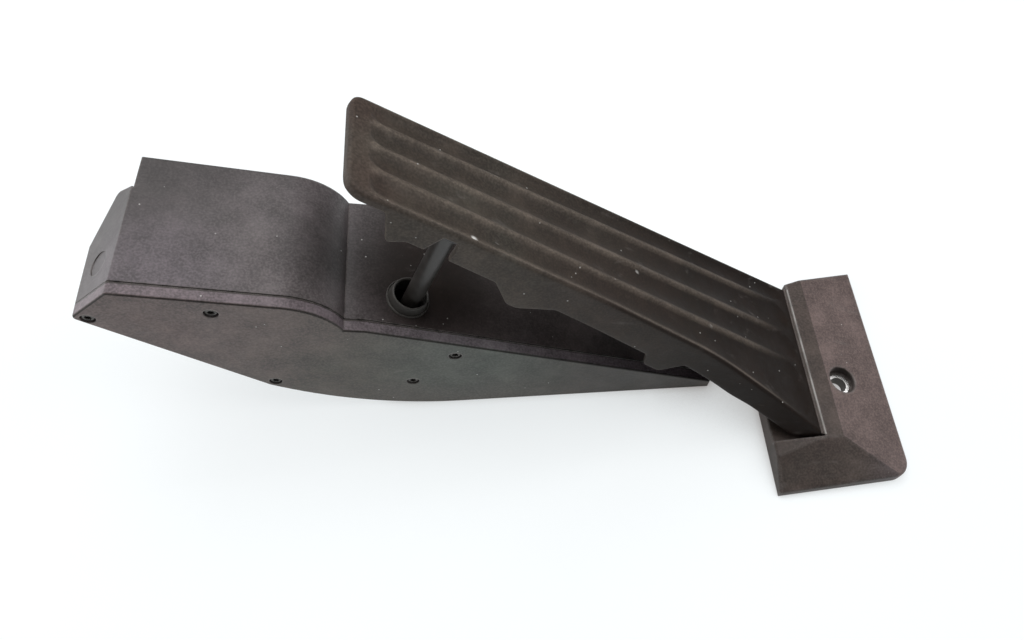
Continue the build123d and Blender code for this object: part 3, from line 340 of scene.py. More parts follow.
class Finish(Bench):
    """A material's tree, with the patterns that the finishes share."""

    def __init__(self, name):
        self.material = bpy.data.materials.new(name)
        self.material.use_nodes = True
        super().__init__(self.material.node_tree)
        self.tree.nodes.clear()
        self.where = self.add("ShaderNodeTexCoord", output="Object")

    def noise(self, size, detail=3.0, stretch=(1, 1, 1), shift=(0, 0, 0)):
        """Noise with features of one size in metres, from 0 to 1."""
        spread = {"Vector": self.where, "Location": shift, "Scale": stretch}
        pattern = {"Vector": self.add("ShaderNodeMapping", None, spread), "Scale": 1 / size, "Detail": detail}
        return self.add("ShaderNodeTexNoise", None, pattern, "Fac")

    def vectors(self, operation, first, second, output=0):
        """Vector maths on two vectors."""
        return self.add("ShaderNodeVectorMath", {"operation": operation}, {0: first, 1: second}, output)

    def along(self, axis):
        """Place along X, Y or Z, in metres."""
        return self.add("ShaderNodeSeparateXYZ", None, {"Vector": self.where}, axis)

    def faced(self, axis):
        """How far a surface faces along X, Y or Z, from -1 to 1."""
        normal = self.add("ShaderNodeNewGeometry", output="Normal")
        return self.add("ShaderNodeSeparateXYZ", None, {"Vector": normal}, axis)

    def near(self, spot, reach):
        """1 at a spot and 0 at a reach from it, both in millimetres."""
        middle = tuple(part * MM for part in spot)
        away = self.vectors("DISTANCE", self.where, middle, "Value")
        return away.rise(reach * MM, 0.15 * reach * MM)

    def measure(self, label):
        """A measure stored on the mesh."""
        return self.add("ShaderNodeAttribute", {"attribute_name": label}, None, "Fac")

    def blend(self, share, first, second):
        """Colour between two, by a share."""
        return self.add("ShaderNodeMix", {"data_type": "RGBA"}, {0: share, 6: first, 7: second}, 2)

    def edge(self, reach):
        """How near an edge is: 0 on a flat, towards 1 on a corner."""
        rounded = self.add("ShaderNodeBevel", {"samples": 6}, {"Radius": reach})
        plain = self.add("ShaderNodeNewGeometry", output="Normal")
        return 1 - self.vectors("DOT_PRODUCT", rounded, plain, "Value")

    def hollow(self, reach):
        """How deep in a corner a point is: 0 in the open, towards 1 in a crevice."""
        return 1 - self.add("ShaderNodeAmbientOcclusion", {"samples": 6}, {"Distance": reach}, "AO")

    def specks(self, size, share):
        """Small round specks, of which a share of the cells has one."""
        cells = {"Vector": self.where, "Scale": 1 / size}
        distance = self.add("ShaderNodeTexVoronoi", None, cells, "Distance")
        tone = self.add("ShaderNodeTexVoronoi", None, cells, "Color")
        pick = self.add("ShaderNodeSeparateColor", None, {"Color": tone}, "Red")
        return distance.rise(0.22, 0.1) * pick.rise(1 - share, 1 - share + 0.002)

    def bumps(self, height, distance, strength=1.0, rounding=0.0002):
        """Normal of a surface with a height pattern and softly rounded edges."""
        soft = self.add("ShaderNodeBevel", {"samples": 6}, {"Radius": rounding})
        return self.add("ShaderNodeBump", None, {"Height": height, "Distance": distance, "Strength": strength,
                                                 "Normal": soft})

    def close(self, **sockets):
        """Shader with these sockets, joined to the material's output; gives the material."""
        inputs = {name.replace("_", " "): value for name, value in sockets.items()}
        shader = self.add("ShaderNodeBsdfPrincipled", None, inputs)
        self.add("ShaderNodeOutputMaterial", None, {"Surface": shader})
        return self.material


def moulded(name, colour, looks, rough=0.5, shine=0.25, warm=0.5, cool=0.3, scuff=0.3, wear=0.5, grain=0.3,
            dust=0.012, stains_and_painted_light=(), bands=(), sides=(), fade=None, fluted=False, whitened=False,
            rounding=0.0009):
    """Moulded plastic: blotchy bloom, spots of stain and of painted light and shade, sides made lighter or
    darker as painted light by the way they face, grain, scuffs, rubbed edges, painted shade in corners and
    pale specks.
    """
    finish = Finish(name)
    blotch = finish.noise(BLOTCH, 3.0)
    patch = finish.noise(PATCH, 4.0, shift=(0.3, 0.1, 0.7))
    mottle = finish.noise(MOTTLE, 4.0)
    grit = finish.noise(GRIT, 3.0)
    cloud = finish.noise(CLOUD, 3.0, shift=(0.7, 0.4, 0.2))
    rub = finish.noise(RUB, 6.0, stretch=(0.3, 1, 1))
    colour = tuple(colour)
    labels = ("warm", "cool", "bloom", "rust", "dark_brown", "grime_and_shade", "wear", "dust")
    shades = {label: tuple(getattr(looks, label)) for label in labels}
    # A lighter copy of the colour, used for a painted sheen and for the ridges' wear and painted highlight
    shades["pale"] = tuple(2.2 * part for part in colour)
    tone = finish.blend(blotch.rise(0.4, 0.7) * warm, colour, shades["warm"])
    tone = finish.blend(patch.rise(0.45, 0.7) * cool, tone, shades["cool"])
    # Spots of real stain and of painted light and shade, each fading out from its middle
    for spot, reach, share, shade in stains_and_painted_light:
        tone = finish.blend(finish.near(spot, reach) * share, tone, shades[shade])
    # Painted light and shade: a side is lighter or darker by the way it faces
    for axis, low, high, share, shade in sides:
        tone = finish.blend(finish.faced(axis).rise(low, high) * share, tone, shades[shade])
    # Darker towards one end along X, in the dark brown colour
    if fade:
        tone = finish.blend(finish.along("X").rise(*fade[:2]) * fade[2], tone, shades["dark_brown"])
    if fluted:
        # Painted shade in the flute bottoms; the lighter ridges are partly rubbed wear and partly painted
        # highlight
        tone = finish.blend(finish.measure("valleys") * 0.3, tone, shades["dark_brown"])
        tone = finish.blend(finish.measure("crests") * (0.3 + patch * 0.4), tone, shades["pale"])
    # Lines along upward sides: dark joints, and on the cover a painted highlight strip and a painted shadow
    # line
    for start, full, end, limit, share, shade in bands:
        across = finish.along("Y")
        strip = across.rise(start * MM, full * MM) * across.rise(limit * MM, end * MM)
        upward = finish.faced("Z").rise(0.05, 0.3)
        tone = finish.blend(strip * upward * share, tone, shades[shade])
    coat = tone
    darker = cloud.rise(0.55, 0.3) * 0.22 + mottle.rise(0.52, 0.36) * 0.1 + grit.rise(0.52, 0.36) * 0.22
    tone = finish.blend(darker, tone, shades["grime_and_shade"])
    doubled = finish.vectors("ADD", coat, coat)
    lighter = cloud.rise(0.48, 0.72) * 0.25 + mottle.rise(0.5, 0.68) * 0.1 + grit.rise(0.5, 0.66) * 0.22
    tone = finish.blend(lighter, tone, doubled)
    tone = finish.blend(rub.rise(0.58, 0.8) * patch.rise(0.4, 0.65) * scuff, tone, shades["wear"])
    rubbed = finish.edge(rounding).rise(0.006, 0.1) * mottle.rise(0.2, 0.6) * wear
    tone = finish.blend(rubbed, tone, shades["wear"])
    if fluted:
        # Painted shadow line along the tread's near edge
        tone = finish.blend(finish.measure("seams") * 0.8, tone, shades["dark_brown"])
        tone = finish.blend(finish.measure("chips"), tone, shades["dust"])
    if whitened:
        white = finish.measure("white") * (0.4 + cloud.rise(0.35, 0.6) * 0.6)
        tone = finish.blend(white, tone, shades["dust"])
    tone = finish.blend(finish.specks(0.0016, dust) * 0.8, tone, shades["dust"])
    # Painted shade: corners and crevices are darkened
    tone = finish.blend(finish.hollow(0.006).rise(0.25, 0.95) * 0.6, tone, shades["grime_and_shade"])
    roughness = rough + (patch - 0.5) * 0.25 + (mottle - 0.5) * 0.2 - rubbed * 0.1
    height = grit * 0.6 + mottle * 0.7 + rub * 0.25
    return finish.close(Base_Color=tone, Roughness=roughness, IOR=1.5, Specular_IOR_Level=shine,
                        Normal=finish.bumps(height, 0.00016, grain, rounding))


def metal(name, colour, rough, tarnish, shade, bore=0.0):
    """Metal with fine turning marks, tarnish in the corners and painted shade inside a bore about the upright
    axis.
    """
    finish = Finish(name)
    marks = finish.noise(0.00025, 2.0, stretch=(1, 1, 0.15))
    cloud = finish.noise(0.003, 4.0)
    tarnish_and_shade = cloud.rise(0.4, 0.75) * tarnish + finish.hollow(0.003).rise(0.3, 0.9) * 0.6
    # Painted shade inside the bore
    if bore:
        flat = finish.vectors("MULTIPLY", finish.where, (1, 1, 0))
        radius = finish.vectors("DISTANCE", flat, (0, 0, 0), "Value")
        tarnish_and_shade = tarnish_and_shade + radius.rise(bore * 1.12, bore * 1.04)
    tone = finish.blend(tarnish_and_shade.at_most(1.0), colour, shade)
    return finish.close(Base_Color=tone, Metallic=1.0, Roughness=rough + tarnish_and_shade * 0.25 + (marks - 0.5) * 0.2,
                        Normal=finish.bumps(marks, 0.00003, 0.4))


def smooth(name, colour, rough, shade, size=0.004, bump=0.2):
    """Rubber, lacquer and plain plastic: two close tones, soft bloom and a fine skin."""
    finish = Finish(name)
    cloud = finish.noise(size, 5.0)
    skin = finish.noise(0.0004, 2.0)
    tone = finish.blend(cloud.rise(0.35, 0.75), colour, shade)
    rubbed = tuple(min(4 * part, 0.8) for part in shade)
    tone = finish.blend(finish.edge(0.0006).rise(0.02, 0.2) * 0.3, tone, rubbed)
    return finish.close(Base_Color=tone, Roughness=rough + (cloud - 0.5) * 0.2,
                        Normal=finish.bumps(skin + cloud * 0.5, 0.00006, bump))


def circuit(name):
    """Green lacquered board with lighter copper tracks."""
    finish = Finish(name)
    waves = finish.add("ShaderNodeTexWave", {"bands_direction": "X"},
                       {"Vector": finish.where, "Scale": 160.0, "Distortion": 3.0, "Detail": 1.0}, "Fac")
    tone = finish.blend(waves.rise(0.55, 0.7), (0.012, 0.09, 0.035), (0.03, 0.2, 0.08))
    return finish.close(Base_Color=tone, Roughness=0.3 + finish.noise(0.002) * 0.15,
                        Normal=finish.bumps(waves, 0.00004, 0.4))


def piece(name, mesh):
    """A new object at the origin that holds a finished mesh."""
    made = bpy.data.objects.new(name, mesh)
    bpy.context.scene.collection.objects.link(made)
    return made


def settle(made):
    """Turns a piece with modifiers into its plain final mesh."""
    graph = bpy.context.evaluated_depsgraph_get()
    mesh = bpy.data.meshes.new_from_object(made.evaluated_get(graph))
    made.modifiers.clear()
    made.data = mesh
    return made


def smooth_by_angle(mesh, angle):
    """Smooth shading that keeps edges above an angle crisp."""
    mesh.shade_smooth()
    mesh.set_sharp_from_angle(angle=angle)


def dress(made, material):
    """Gives a piece one material."""
    made.data.materials.clear()
    made.data.materials.append(material)
    return made


def dress_node(node, material):
    """Gives a CAD node a finished material."""
    for slot in frame["nodes"][node].material_slots:
        slot.material = material


def place(made, body, slot, *nodes):
    """Rides a piece on its body and hides the nodes that it stands for; the slot argument is not used."""
    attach(made, body)
    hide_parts(*nodes)
    return made


def joined(node, name, flat=0.0):
    """A copy of a CAD node with its loose triangles joined, and those flatter than an angle made one face."""
    mesh = frame["nodes"][node].data.copy()
    mesh.name = name
    form = bmesh.new()
    form.from_mesh(mesh)
    bmesh.ops.remove_doubles(form, verts=form.verts, dist=2e-6)
    if flat:
        bmesh.ops.dissolve_limit(form, angle_limit=flat, verts=form.verts, edges=form.edges)
    form.to_mesh(mesh)
    form.free()
    return piece(name, mesh)


def softened(node, name, width, angle):
    """A copy of a CAD node with merged faces and rounded edges."""
    made = joined(node, name, radians(0.4))
    rounding = made.modifiers.new("Rounding", "BEVEL")
    rounding.limit_method = "ANGLE"
    rounding.angle_limit = angle
    rounding.width = width
    rounding.segments = 3
    rounding.use_clamp_overlap = True
    smooth_by_angle(made.data, angle)
    weighted = made.modifiers.new("Weighted", "WEIGHTED_NORMAL")
    weighted.keep_sharp = True
    return settle(made)


def closed_loft(name, loops):
    """Closed skin over loops of equal length, with both ends filled."""
    stations, count = loops.shape[:2]
    index = np.arange(stations * count).reshape(stations, count)
    turned = np.roll(index, -1, axis=1)
    quads = np.stack([index[:-1], index[1:], turned[1:], turned[:-1]], axis=-1).reshape(-1, 4)
    ends = [index[0].tolist(), index[-1][::-1].tolist()]
    return outward(name, loops.reshape(-1, 3), quads.tolist() + ends)


def outward(name, corners, faces):
    """A mesh whose faces all point outwards."""
    mesh = bpy.data.meshes.new(name)
    mesh.from_pydata(corners.tolist(), [], faces)
    form = bmesh.new()
    form.from_mesh(mesh)
    bmesh.ops.recalc_face_normals(form, faces=form.faces)
    form.to_mesh(mesh)
    form.free()
    return mesh


def keep_measure(mesh, name, values):
    """Stores one value for each point of a mesh."""
    stored = mesh.attributes.new(name, "FLOAT", "POINT")
    stored.data.foreach_set("value", values.astype(np.float32))


def eased(points, places, reach):
    """A line through guide points, with its corners rounded over a reach to each side."""
    across, values = np.array(points, float).T
    shifts = np.linspace(-reach, reach, 17)
    return np.mean([np.interp(places + shift, across, values) for shift in shifts], axis=0)


def arc(middle, height, radius, start, end, count):
    """Points of an arc in a cross section, from one angle to another, without the first."""
    angles = np.radians(np.linspace(start, end, count + 1)[1:])
    return np.stack([middle + radius * np.cos(angles), height + radius * np.sin(angles)], axis=1)


def run(start, end, count):
    """Points of a straight stretch in a cross section, without the first."""
    return np.linspace(start, end, count + 1)[1:]


def tread_section(sizes, near, far, low_near, low_far, inset):
    """Loop of one cross section: over the top, down the far skirt, under the plate and up the near skirt."""
    half = sizes.wall / 2
    left, right = near + inset, far - inset
    top, under = sizes.top - inset, sizes.top - sizes.plate + inset
    bend = max(sizes.edge_round - inset, 0.1)
    shares = np.concatenate([np.linspace(0, 0.09, 16), np.linspace(0.09, 1, 84)[1:]])
    crest = left + bend + shares * (right - left - 2 * bend)
    upper = np.stack([crest, np.full(len(crest), top)], axis=1)
    lower = [
        run((right - sizes.wall, low_far + half), (right - sizes.wall, under), 5),
        run((right - sizes.wall, under), (left + sizes.wall, under), 24),
        run((left + sizes.wall, under), (left + sizes.wall, low_near + half), 5),
    ]
    far_toe = arc(right - half, low_far + half, half, 0, -180, 8)
    near_toe = arc(left + half, low_near + half, half, 0, -180, 8)
    for stretch in (far_toe[4:], lower[0], lower[2], near_toe[:4]):
        stretch[:, 1] = np.minimum(stretch[:, 1], under)
    return np.concatenate([
        upper,
        arc(right - bend, top - bend, bend, 90, 0, 6),
        run((right, top - bend), (right, low_far + half), 6),
        far_toe, *lower, near_toe,
        run((left, low_near + half), (left, top - bend), 8),
        arc(left + bend, top - bend, bend, 180, 90, 6)[:-1],
    ]), len(upper)


def rounded_off(along, length, radius):
    """How far a corner of one radius draws the edge in, near the end of a length."""
    past = np.clip(along - length + radius, 0, radius)
    return radius - np.sqrt(radius ** 2 - past ** 2)


def tread_mesh(sizes):
    """Plain tread with its skirts, and the measures along and across it that the flutes follow."""
    fine = [np.arange(u - 2.4, u + 2.4, 0.3) for u, _ in NEAR_SKIRT[1:-1]]
    bend = np.sin(np.radians(np.linspace(0, 90, 24)))
    radii = (sizes.corner, sizes.far_corner, sizes.edge_round)
    ends = [sizes.length - radius * (1 - bend) for radius in radii]
    along = np.concatenate([np.arange(sizes.start, sizes.length - sizes.corner, 1.1), *fine, *ends])
    along = np.unique(along[(along >= sizes.start) & (along <= sizes.length)].round(3))
    inset = rounded_off(along, sizes.length, sizes.edge_round)
    near = eased(NEAR_EDGE, along, EDGE_EASE) + rounded_off(along, sizes.length, sizes.corner)
    far = sizes.far_edge - rounded_off(along, sizes.length, sizes.far_corner)
    near_depth = np.where(along < HOOK_STATION, eased(NEAR_SKIRT, along, HOOK_EASE),
                          eased(NEAR_SKIRT, along, SKIRT_EASE))
    low_near = sizes.top - near_depth + inset
    low_far = sizes.top - eased(FAR_SKIRT, along, SKIRT_EASE) + inset
    loops, measures = [], []
    for u, *section in zip(along, near, far, low_near, low_far, inset):
        points, crown = tread_section(sizes, *section)
        sunk = sizes.top - points[:, 1]
        skirt = (points[:, 0] < section[0] + 1.01 * sizes.wall) & (sunk > sizes.edge_round)
        points[:, 0] -= np.interp(u, *zip(*FLARE)) * np.clip(sunk / FLARE_DEPTH, 0, 1) * skirt
        x, z = on_tread(sizes, u, points[:, 1])
        loops.append(np.stack([x, points[:, 0], z], axis=1) * MM)
        on_top = (np.arange(len(points)) < crown).astype(float)
        chipped = np.zeros(len(points))
        for place, across, radius in CHIPS:
            reach = np.hypot(u - place, points[:, 0] - across)
            chipped = np.maximum(chipped, np.clip(1.6 - reach / radius, 0, 1) * (points[:, 1] > -sizes.top))
        edge = eased(NEAR_EDGE, np.array([u]), EDGE_EASE)[0]
        # A painted shadow line just inside the near edge
        line = np.clip(1 - np.abs(points[:, 0] - edge - 0.45) / 0.5, 0, 1) * (sunk < sizes.edge_round)
        shadow_line = line * np.interp(u, *zip(*SHADOW_LINE))
        up, near_edge = np.full(len(points), u), np.full(len(points), edge)
        measures.append(np.stack([up, points[:, 0], near_edge, on_top, chipped, shadow_line]))
    mesh = closed_loft("tread", np.array(loops))
    names = ("up", "across", "near", "crown", "chips", "seams")
    for name, values in zip(names, np.concatenate(measures, axis=1)):
        keep_measure(mesh, name, values)
    return mesh


def on_tread(sizes, up, height):
    """X and Z, in millimetres, of points at a distance up the tread and a height along its normal."""
    x = HINGE["pos_m"][0] / MM - up * cos(sizes.slope) + height * sin(sizes.slope)
    z = HINGE["pos_m"][2] / MM + up * sin(sizes.slope) + height * cos(sizes.slope)
    return x, z


class Growth(Bench):
    """A Geometry Nodes tree with named sizes, from a piece's mesh to its finished mesh."""

    def __init__(self, name, sizes):
        super().__init__(bpy.data.node_groups.new(name, "GeometryNodeTree"))
        self.tree.interface.new_socket("Geometry", in_out="INPUT", socket_type="NodeSocketGeometry")
        self.tree.interface.new_socket("Geometry", in_out="OUTPUT", socket_type="NodeSocketGeometry")
        self.values = {}
        for label, value in sizes.items():
            kind = "NodeSocketInt" if isinstance(value, int) else "NodeSocketFloat"
            socket = self.tree.interface.new_socket(label, in_out="INPUT", socket_type=kind)
            self.values[socket.identifier] = value
        self.entry = self.tree.nodes.new("NodeGroupInput")

    def given(self, label):
        """One of the tree's own inputs."""
        return Socket(self, self.entry.outputs[label])

    def measure(self, label):
        """A named measure stored on the mesh."""
        return self.add("GeometryNodeInputNamedAttribute", {"data_type": "FLOAT"}, {"Name": label})

    def grow(self, made, geometry, material):
        """Ends the tree, runs it on a piece and keeps the plain mesh."""
        whole = self.add("GeometryNodeRealizeInstances", None, {"Geometry": geometry})
        painted = self.add("GeometryNodeSetMaterial", None, {"Geometry": whole, "Material": material})
        self.add("NodeGroupOutput", None, {"Geometry": painted})
        modifier = made.modifiers.new(self.tree.name, "NODES")
        modifier.node_group = self.tree
        for identifier, value in self.values.items():
            modifier[identifier] = value
        return settle(made)


def press_flutes(made, sizes, material):
    """Sinks the flutes into the tread's top and stores where its ridges and valleys are."""
    tree = Growth("flutes", {"Flute Depth": sizes.flute_depth, "Ridge Width": sizes.ridge_width,
                             "Flute End": sizes.flute_end, "Flute Bowl": sizes.flute_bowl,
                             "Edge Land": sizes.edge_land})
    up, across, near = tree.measure("up"), tree.measure("across"), tree.measure("near")
    share = up / sizes.length
    half = tree.given("Ridge Width") / 2
    ridges = [share * (top - hinge) + hinge for hinge, top in zip(RIDGES_HINGE, RIDGES_TOP)]
    limits = [near + tree.given("Edge Land") - half, *ridges, sizes.far_edge - tree.given("Edge Land") + half]
    bowl = tree.given("Flute Bowl")
    top_end = ((up - tree.given("Flute End") + bowl) / bowl).at_least(0.0)
    hinge_end = (1.6 - up / 9.0).at_least(0.0)
    sunk = 0.0
    for low, high in zip(limits, limits[1:]):
        middle = (low + high) / 2
        width = (high - low) / 2 - half
        offset = (across - middle) / width
        section = 1 - offset * offset - top_end * top_end - hinge_end * hinge_end
        sunk = section.at_least(0.0) ** 0.62 + sunk
    crests = 0.0
    for ridge in [near + tree.given("Edge Land"), *ridges]:
        offset = (across - ridge) / (tree.given("Ridge Width") * 1.3)
        crests = (1 - offset * offset).at_least(0.0) + crests
    depth = sunk * tree.given("Flute Depth") * tree.measure("crown") * -MM
    inward = {"X": depth * sin(sizes.slope), "Z": depth * cos(sizes.slope)}
    shift = tree.add("ShaderNodeCombineXYZ", None, inward)
    shaped = tree.add("GeometryNodeSetPosition", None, {"Geometry": tree.given("Geometry"), "Offset": shift})
    ends = tree.measure("crown") * up.rise(sizes.flute_end + 2, sizes.flute_end - 2) * up.rise(10.0, 40.0)
    for label, value in {"crests": crests * ends, "valleys": sunk * tree.measure("crown")}.items():
        shaped = tree.add("GeometryNodeStoreNamedAttribute", {"data_type": "FLOAT", "domain": "POINT"},
                          {"Geometry": shaped, "Name": label, "Value": value})
    return tree.grow(made, shaped, material)


def set_ribs(sizes, material):
    """Sets a cross rib at each station under the tread, as long as the room between the skirts."""
    up = np.array(RIBS, float)
    near = eased(NEAR_EDGE, up, EDGE_EASE) + sizes.wall / 2
    far = sizes.far_edge - sizes.wall / 2
    x, z = on_tread(sizes, up, sizes.top - sizes.plate - sizes.rib_depth / 2 + 0.2)
    points = bpy.data.meshes.new("rib_stations")
    points.from_pydata((np.stack([x, (near + far) / 2, z], axis=1) * MM).tolist(), [], [])
    keep_measure(points, "span", (far - near) * MM)
    tree = Growth("cross_ribs", {"Rib Wall": sizes.rib_wall, "Rib Depth": sizes.rib_depth,
                                 "Slope": sizes.slope})
    block = tree.add("GeometryNodeMeshCube", None, {"Size": (MM, 1.0, MM)}, "Mesh")
    size = tree.add("ShaderNodeCombineXYZ", None, {"X": tree.given("Rib Wall"), "Y": tree.measure("span"),
                                                   "Z": tree.given("Rib Depth")})
    lean = tree.add("ShaderNodeCombineXYZ", None, {"Y": tree.given("Slope")})
    turned = tree.add("FunctionNodeEulerToRotation", None, {"Euler": lean})
    spread = tree.add("GeometryNodeInstanceOnPoints", None,
                      {"Points": tree.given("Geometry"), "Instance": block, "Rotation": turned,
                       "Scale": size})
    return tree.grow(piece("ribs", points), spread, material)


def lathe(name, section, sides, middle, lean):
    """Ring with a closed section, turned about an upright axis that leans towards +X."""
    radius, height = np.array(section).T
    turn = np.linspace(0, 2 * pi, sides, endpoint=False)
    across = np.outer(np.cos(turn), radius)
    y = np.outer(np.sin(turn), radius)
    rise = np.broadcast_to(height, across.shape)
    x, z = across * cos(lean) + rise * sin(lean), rise * cos(lean) - across * sin(lean)
    corners = np.stack([x, y, z], axis=-1).reshape(-1, 3) * MM + np.array(middle)
    index = np.arange(len(corners)).reshape(across.shape)
    after, beside = np.roll(index, -1, axis=0), np.roll(index, -1, axis=1)
    quads = np.stack([index, after, np.roll(after, -1, axis=1), beside], axis=-1).reshape(-1, 4)
    return outward(name, corners, quads.tolist())


def screw_mesh(sizes):
    """One cover screw with a lobed drive, its head towards the near side and its seat at the origin."""
    top = -sizes.head_height
    rings = (
        (0.02, 0.0, top + sizes.drive_depth), (sizes.drive * 0.92, 0.16, top + sizes.drive_depth),
        (sizes.drive, 0.16, top + 0.06), (sizes.drive + 0.06, 0.14, top), (sizes.drive + 0.3, 0.0, top),
        (sizes.head - 0.45, 0.0, top + 0.05), (sizes.head - 0.12, 0.0, top + 0.3),
        (sizes.head, 0.0, top + 0.6), (sizes.head, 0.0, -0.08), (sizes.head - 0.08, 0.0, 0.0),
        (sizes.shank, 0.0, 0.0),
        (sizes.shank, 0.0, sizes.shank_length - 1.0), (0.3, 0.0, sizes.shank_length),
    )
    turn = np.linspace(0, 2 * pi, 48, endpoint=False)
    loops = []
    for radius, lobe, depth in rings:
        reach = radius + lobe * np.cos(6 * turn)
        loops.append(np.stack([reach * np.cos(turn), np.full(48, depth), reach * np.sin(turn)], axis=1) * MM)
    return closed_loft("screw", np.array(loops))


def set_screws(sizes, seats, material):
    """Sets a screw on each seat, each turned by its own angle."""
    points = bpy.data.meshes.new("screw_seats")
    points.from_pydata(seats, [], [])
    pattern = piece("screw_pattern", screw_mesh(sizes))
    smooth_by_angle(pattern.data, radians(35))
    tree = Growth("cover_screws", {"Seed": sizes.seed})
    screw = tree.add("GeometryNodeObjectInfo", None, {"Object": pattern}, "Geometry")
    angle = tree.add("FunctionNodeRandomValue", {"data_type": "FLOAT"},
                     {2: 0.0, 3: pi, "Seed": tree.given("Seed")}, 1)
    turn = tree.add("ShaderNodeCombineXYZ", None, {"Y": angle})
    turned = tree.add("FunctionNodeEulerToRotation", None, {"Euler": turn})
    spread = tree.add("GeometryNodeInstanceOnPoints", None,
                      {"Points": tree.given("Geometry"), "Instance": screw, "Rotation": turned})
    made = tree.grow(piece("screws", points), spread, material)
    bpy.data.objects.remove(pattern)
    return made


def screw_seats():
    """Seat of each cover screw, from the middle of the screws' own loose parts in the frame."""
    form = bmesh.new()
    form.from_mesh(frame["nodes"]["cover_screws"].data)
    bmesh.ops.remove_doubles(form, verts=form.verts, dist=2e-6)
    seats, left = [], set(form.verts)
    while left:
        group, wave = set(), [left.pop()]
        while wave:
            vert = wave.pop()
            group.add(vert)
            fresh = [edge.other_vert(vert) for edge in vert.link_edges if edge.other_vert(vert) in left]
            left.difference_update(fresh)
            wave.extend(fresh)
        corners = np.array([vert.co for vert in group])
        middle = (corners.min(0) + corners.max(0)) / 2
        seats.append((middle[0], corners.min(0)[1], middle[2]))
    form.free()
    return seats


class PEDAL_OT_housing(bpy.types.Operator):
    """Shell and side cover of the sensor housing, with the seal, the collar and the connector"""

    bl_idname = "pedal.housing"
    bl_label = "Housing"

    def execute(self, context):
        looks, sizes = context.scene.pedal_plastic, context.scene.pedal_housing
        shell = softened("main_housing", "shell", sizes.softening, sizes.smooth_angle)
        # The shell's fade darkens the deck, partly a darker deck and partly painted shade under the tread
        dress(shell, moulded("shell_plastic", looks.housing, looks, rough=0.42, warm=0.2, cool=0.1, scuff=0.2,
                             wear=0.6, stains_and_painted_light=SHELL_PAINTED_LIGHT, bands=SHELL_BANDS, fade=(-0.1892, -0.1772, 0.5)))
        place(shell, "housing", "housing_plastic", "main_housing")
        cover = softened("side_cover", "cover", sizes.softening, sizes.smooth_angle)
        dress(cover, moulded("cover_plastic", looks.cover, looks, rough=0.44, warm=0.25, cool=0.3, scuff=0.3,
                             wear=0.7, stains_and_painted_light=COVER_HUE_AND_PAINTED_LIGHT, bands=COVER_BANDS))
        place(cover, "housing", "cover_plastic", "side_cover")
        collar = smooth("collar_rubber", (0.042, 0.039, 0.035), 0.55, (0.062, 0.058, 0.053))
        for node in ("cover_seal", "stop_pad"):
            dress_node(node, collar)
        spot = context.scene.pedal_collar
        ring = piece("collar", lathe("collar", COLLAR_SECTION, spot.sides, spot.place, spot.lean))
        smooth_by_angle(ring.data, radians(40))
        place(dress(ring, collar), "housing", "rubber", "rod_collar")
        socket = smooth("socket_plastic", (0.015, 0.015, 0.016), 0.5, (0.022, 0.022, 0.022))
        dress_node("connector_socket", socket)
        dress_node("connector_pins", metal("tinned_pins", (0.7, 0.69, 0.66), 0.3, 0.3, (0.35, 0.34, 0.32)))
        return {"FINISHED"}


class PEDAL_OT_screws(bpy.types.Operator):
    """Five dark screws sunk in the side cover"""

    bl_idname = "pedal.screws"
    bl_label = "Cover Screws"

    def execute(self, context):
        sizes = context.scene.pedal_screw
        steel = metal("blackened_steel", (0.10, 0.095, 0.09), 0.38, 0.5, (0.03, 0.027, 0.024))
        seats = [(x, head + sizes.head_height * MM, z) for x, head, z in screw_seats()]
        place(set_screws(sizes, seats, steel), "housing", "screw_steel", "cover_screws")
        return {"FINISHED"}


class PEDAL_OT_tread(bpy.types.Operator):
    """Fluted tread with its skirts"""

    bl_idname = "pedal.tread"
    bl_label = "Tread"

    def execute(self, context):
        looks, sizes = context.scene.pedal_plastic, context.scene.pedal_tread
        # The tread's fade darkens it towards its hinge end
        plastic = moulded("tread_plastic", looks.tread, looks, rough=0.55, shine=0.14, warm=0.05, cool=0.2,
                          scuff=0.3, wear=0.7, grain=0.4, dust=0.02, stains_and_painted_light=TREAD_STAINS,
                          fade=(-0.165, -0.035, 0.95), fluted=True)
        tread = press_flutes(piece("tread", tread_mesh(sizes)), sizes, plastic)
        smooth_by_angle(tread.data, radians(50))
        place(tread, "pedal", "tread_plastic", "pedal_tread")
        ribs = set_ribs(sizes, plastic)
        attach(ribs, "pedal")
        return {"FINISHED"}


class PEDAL_OT_heel(bpy.types.Operator):
    """Heel foot with its steel sleeve and the film hinge"""

    bl_idname = "pedal.heel"
    bl_label = "Heel Foot"

    def execute(self, context):
        looks, sizes = context.scene.pedal_plastic, context.scene.pedal_housing
        # Painted light: the foot's sides facing +X are lighter and warm, those facing -Y darker
        sides = (("X", 0.1, 0.3, 0.9, "warm"), ("Y", -0.15, -0.35, 0.1, "dark_brown"))
        plastic = moulded("foot_plastic", looks.foot, looks, rough=0.5, warm=0.2, cool=0.1, scuff=0.3,
                          wear=0.8, stains_and_painted_light=FOOT_PAINTED_LIGHT, sides=sides, rounding=0.002)
        foot = softened("heel_foot", "foot", sizes.foot_softening, sizes.smooth_angle)
        place(dress(foot, plastic), "housing", "tread_plastic", "heel_foot")
        steel = metal("bright_steel", (0.78, 0.77, 0.76), 0.24, 0.1, (0.10, 0.095, 0.09), bore=0.0032)
        dress_node("bolt_sleeve", steel)
        low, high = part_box("film_hinge")
        section = np.array(FILM_SECTION) * MM
        width = np.linspace(low.y, high.y, 120)
        loops = np.array([[(x, y, z) for x, z in section] for y in width])
        film = piece("film", closed_loft("film", loops))
        keep_measure(film.data, "white", np.tile(FILM_WHITE, len(width)))
        smooth_by_angle(film.data, radians(60))
        dress(film, moulded("film_plastic", looks.foot, looks, rough=0.5, warm=0.1, cool=0.1, wear=0.0,
                            whitened=True))
        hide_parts("film_hinge")
        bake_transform(film)
        return {"FINISHED"}


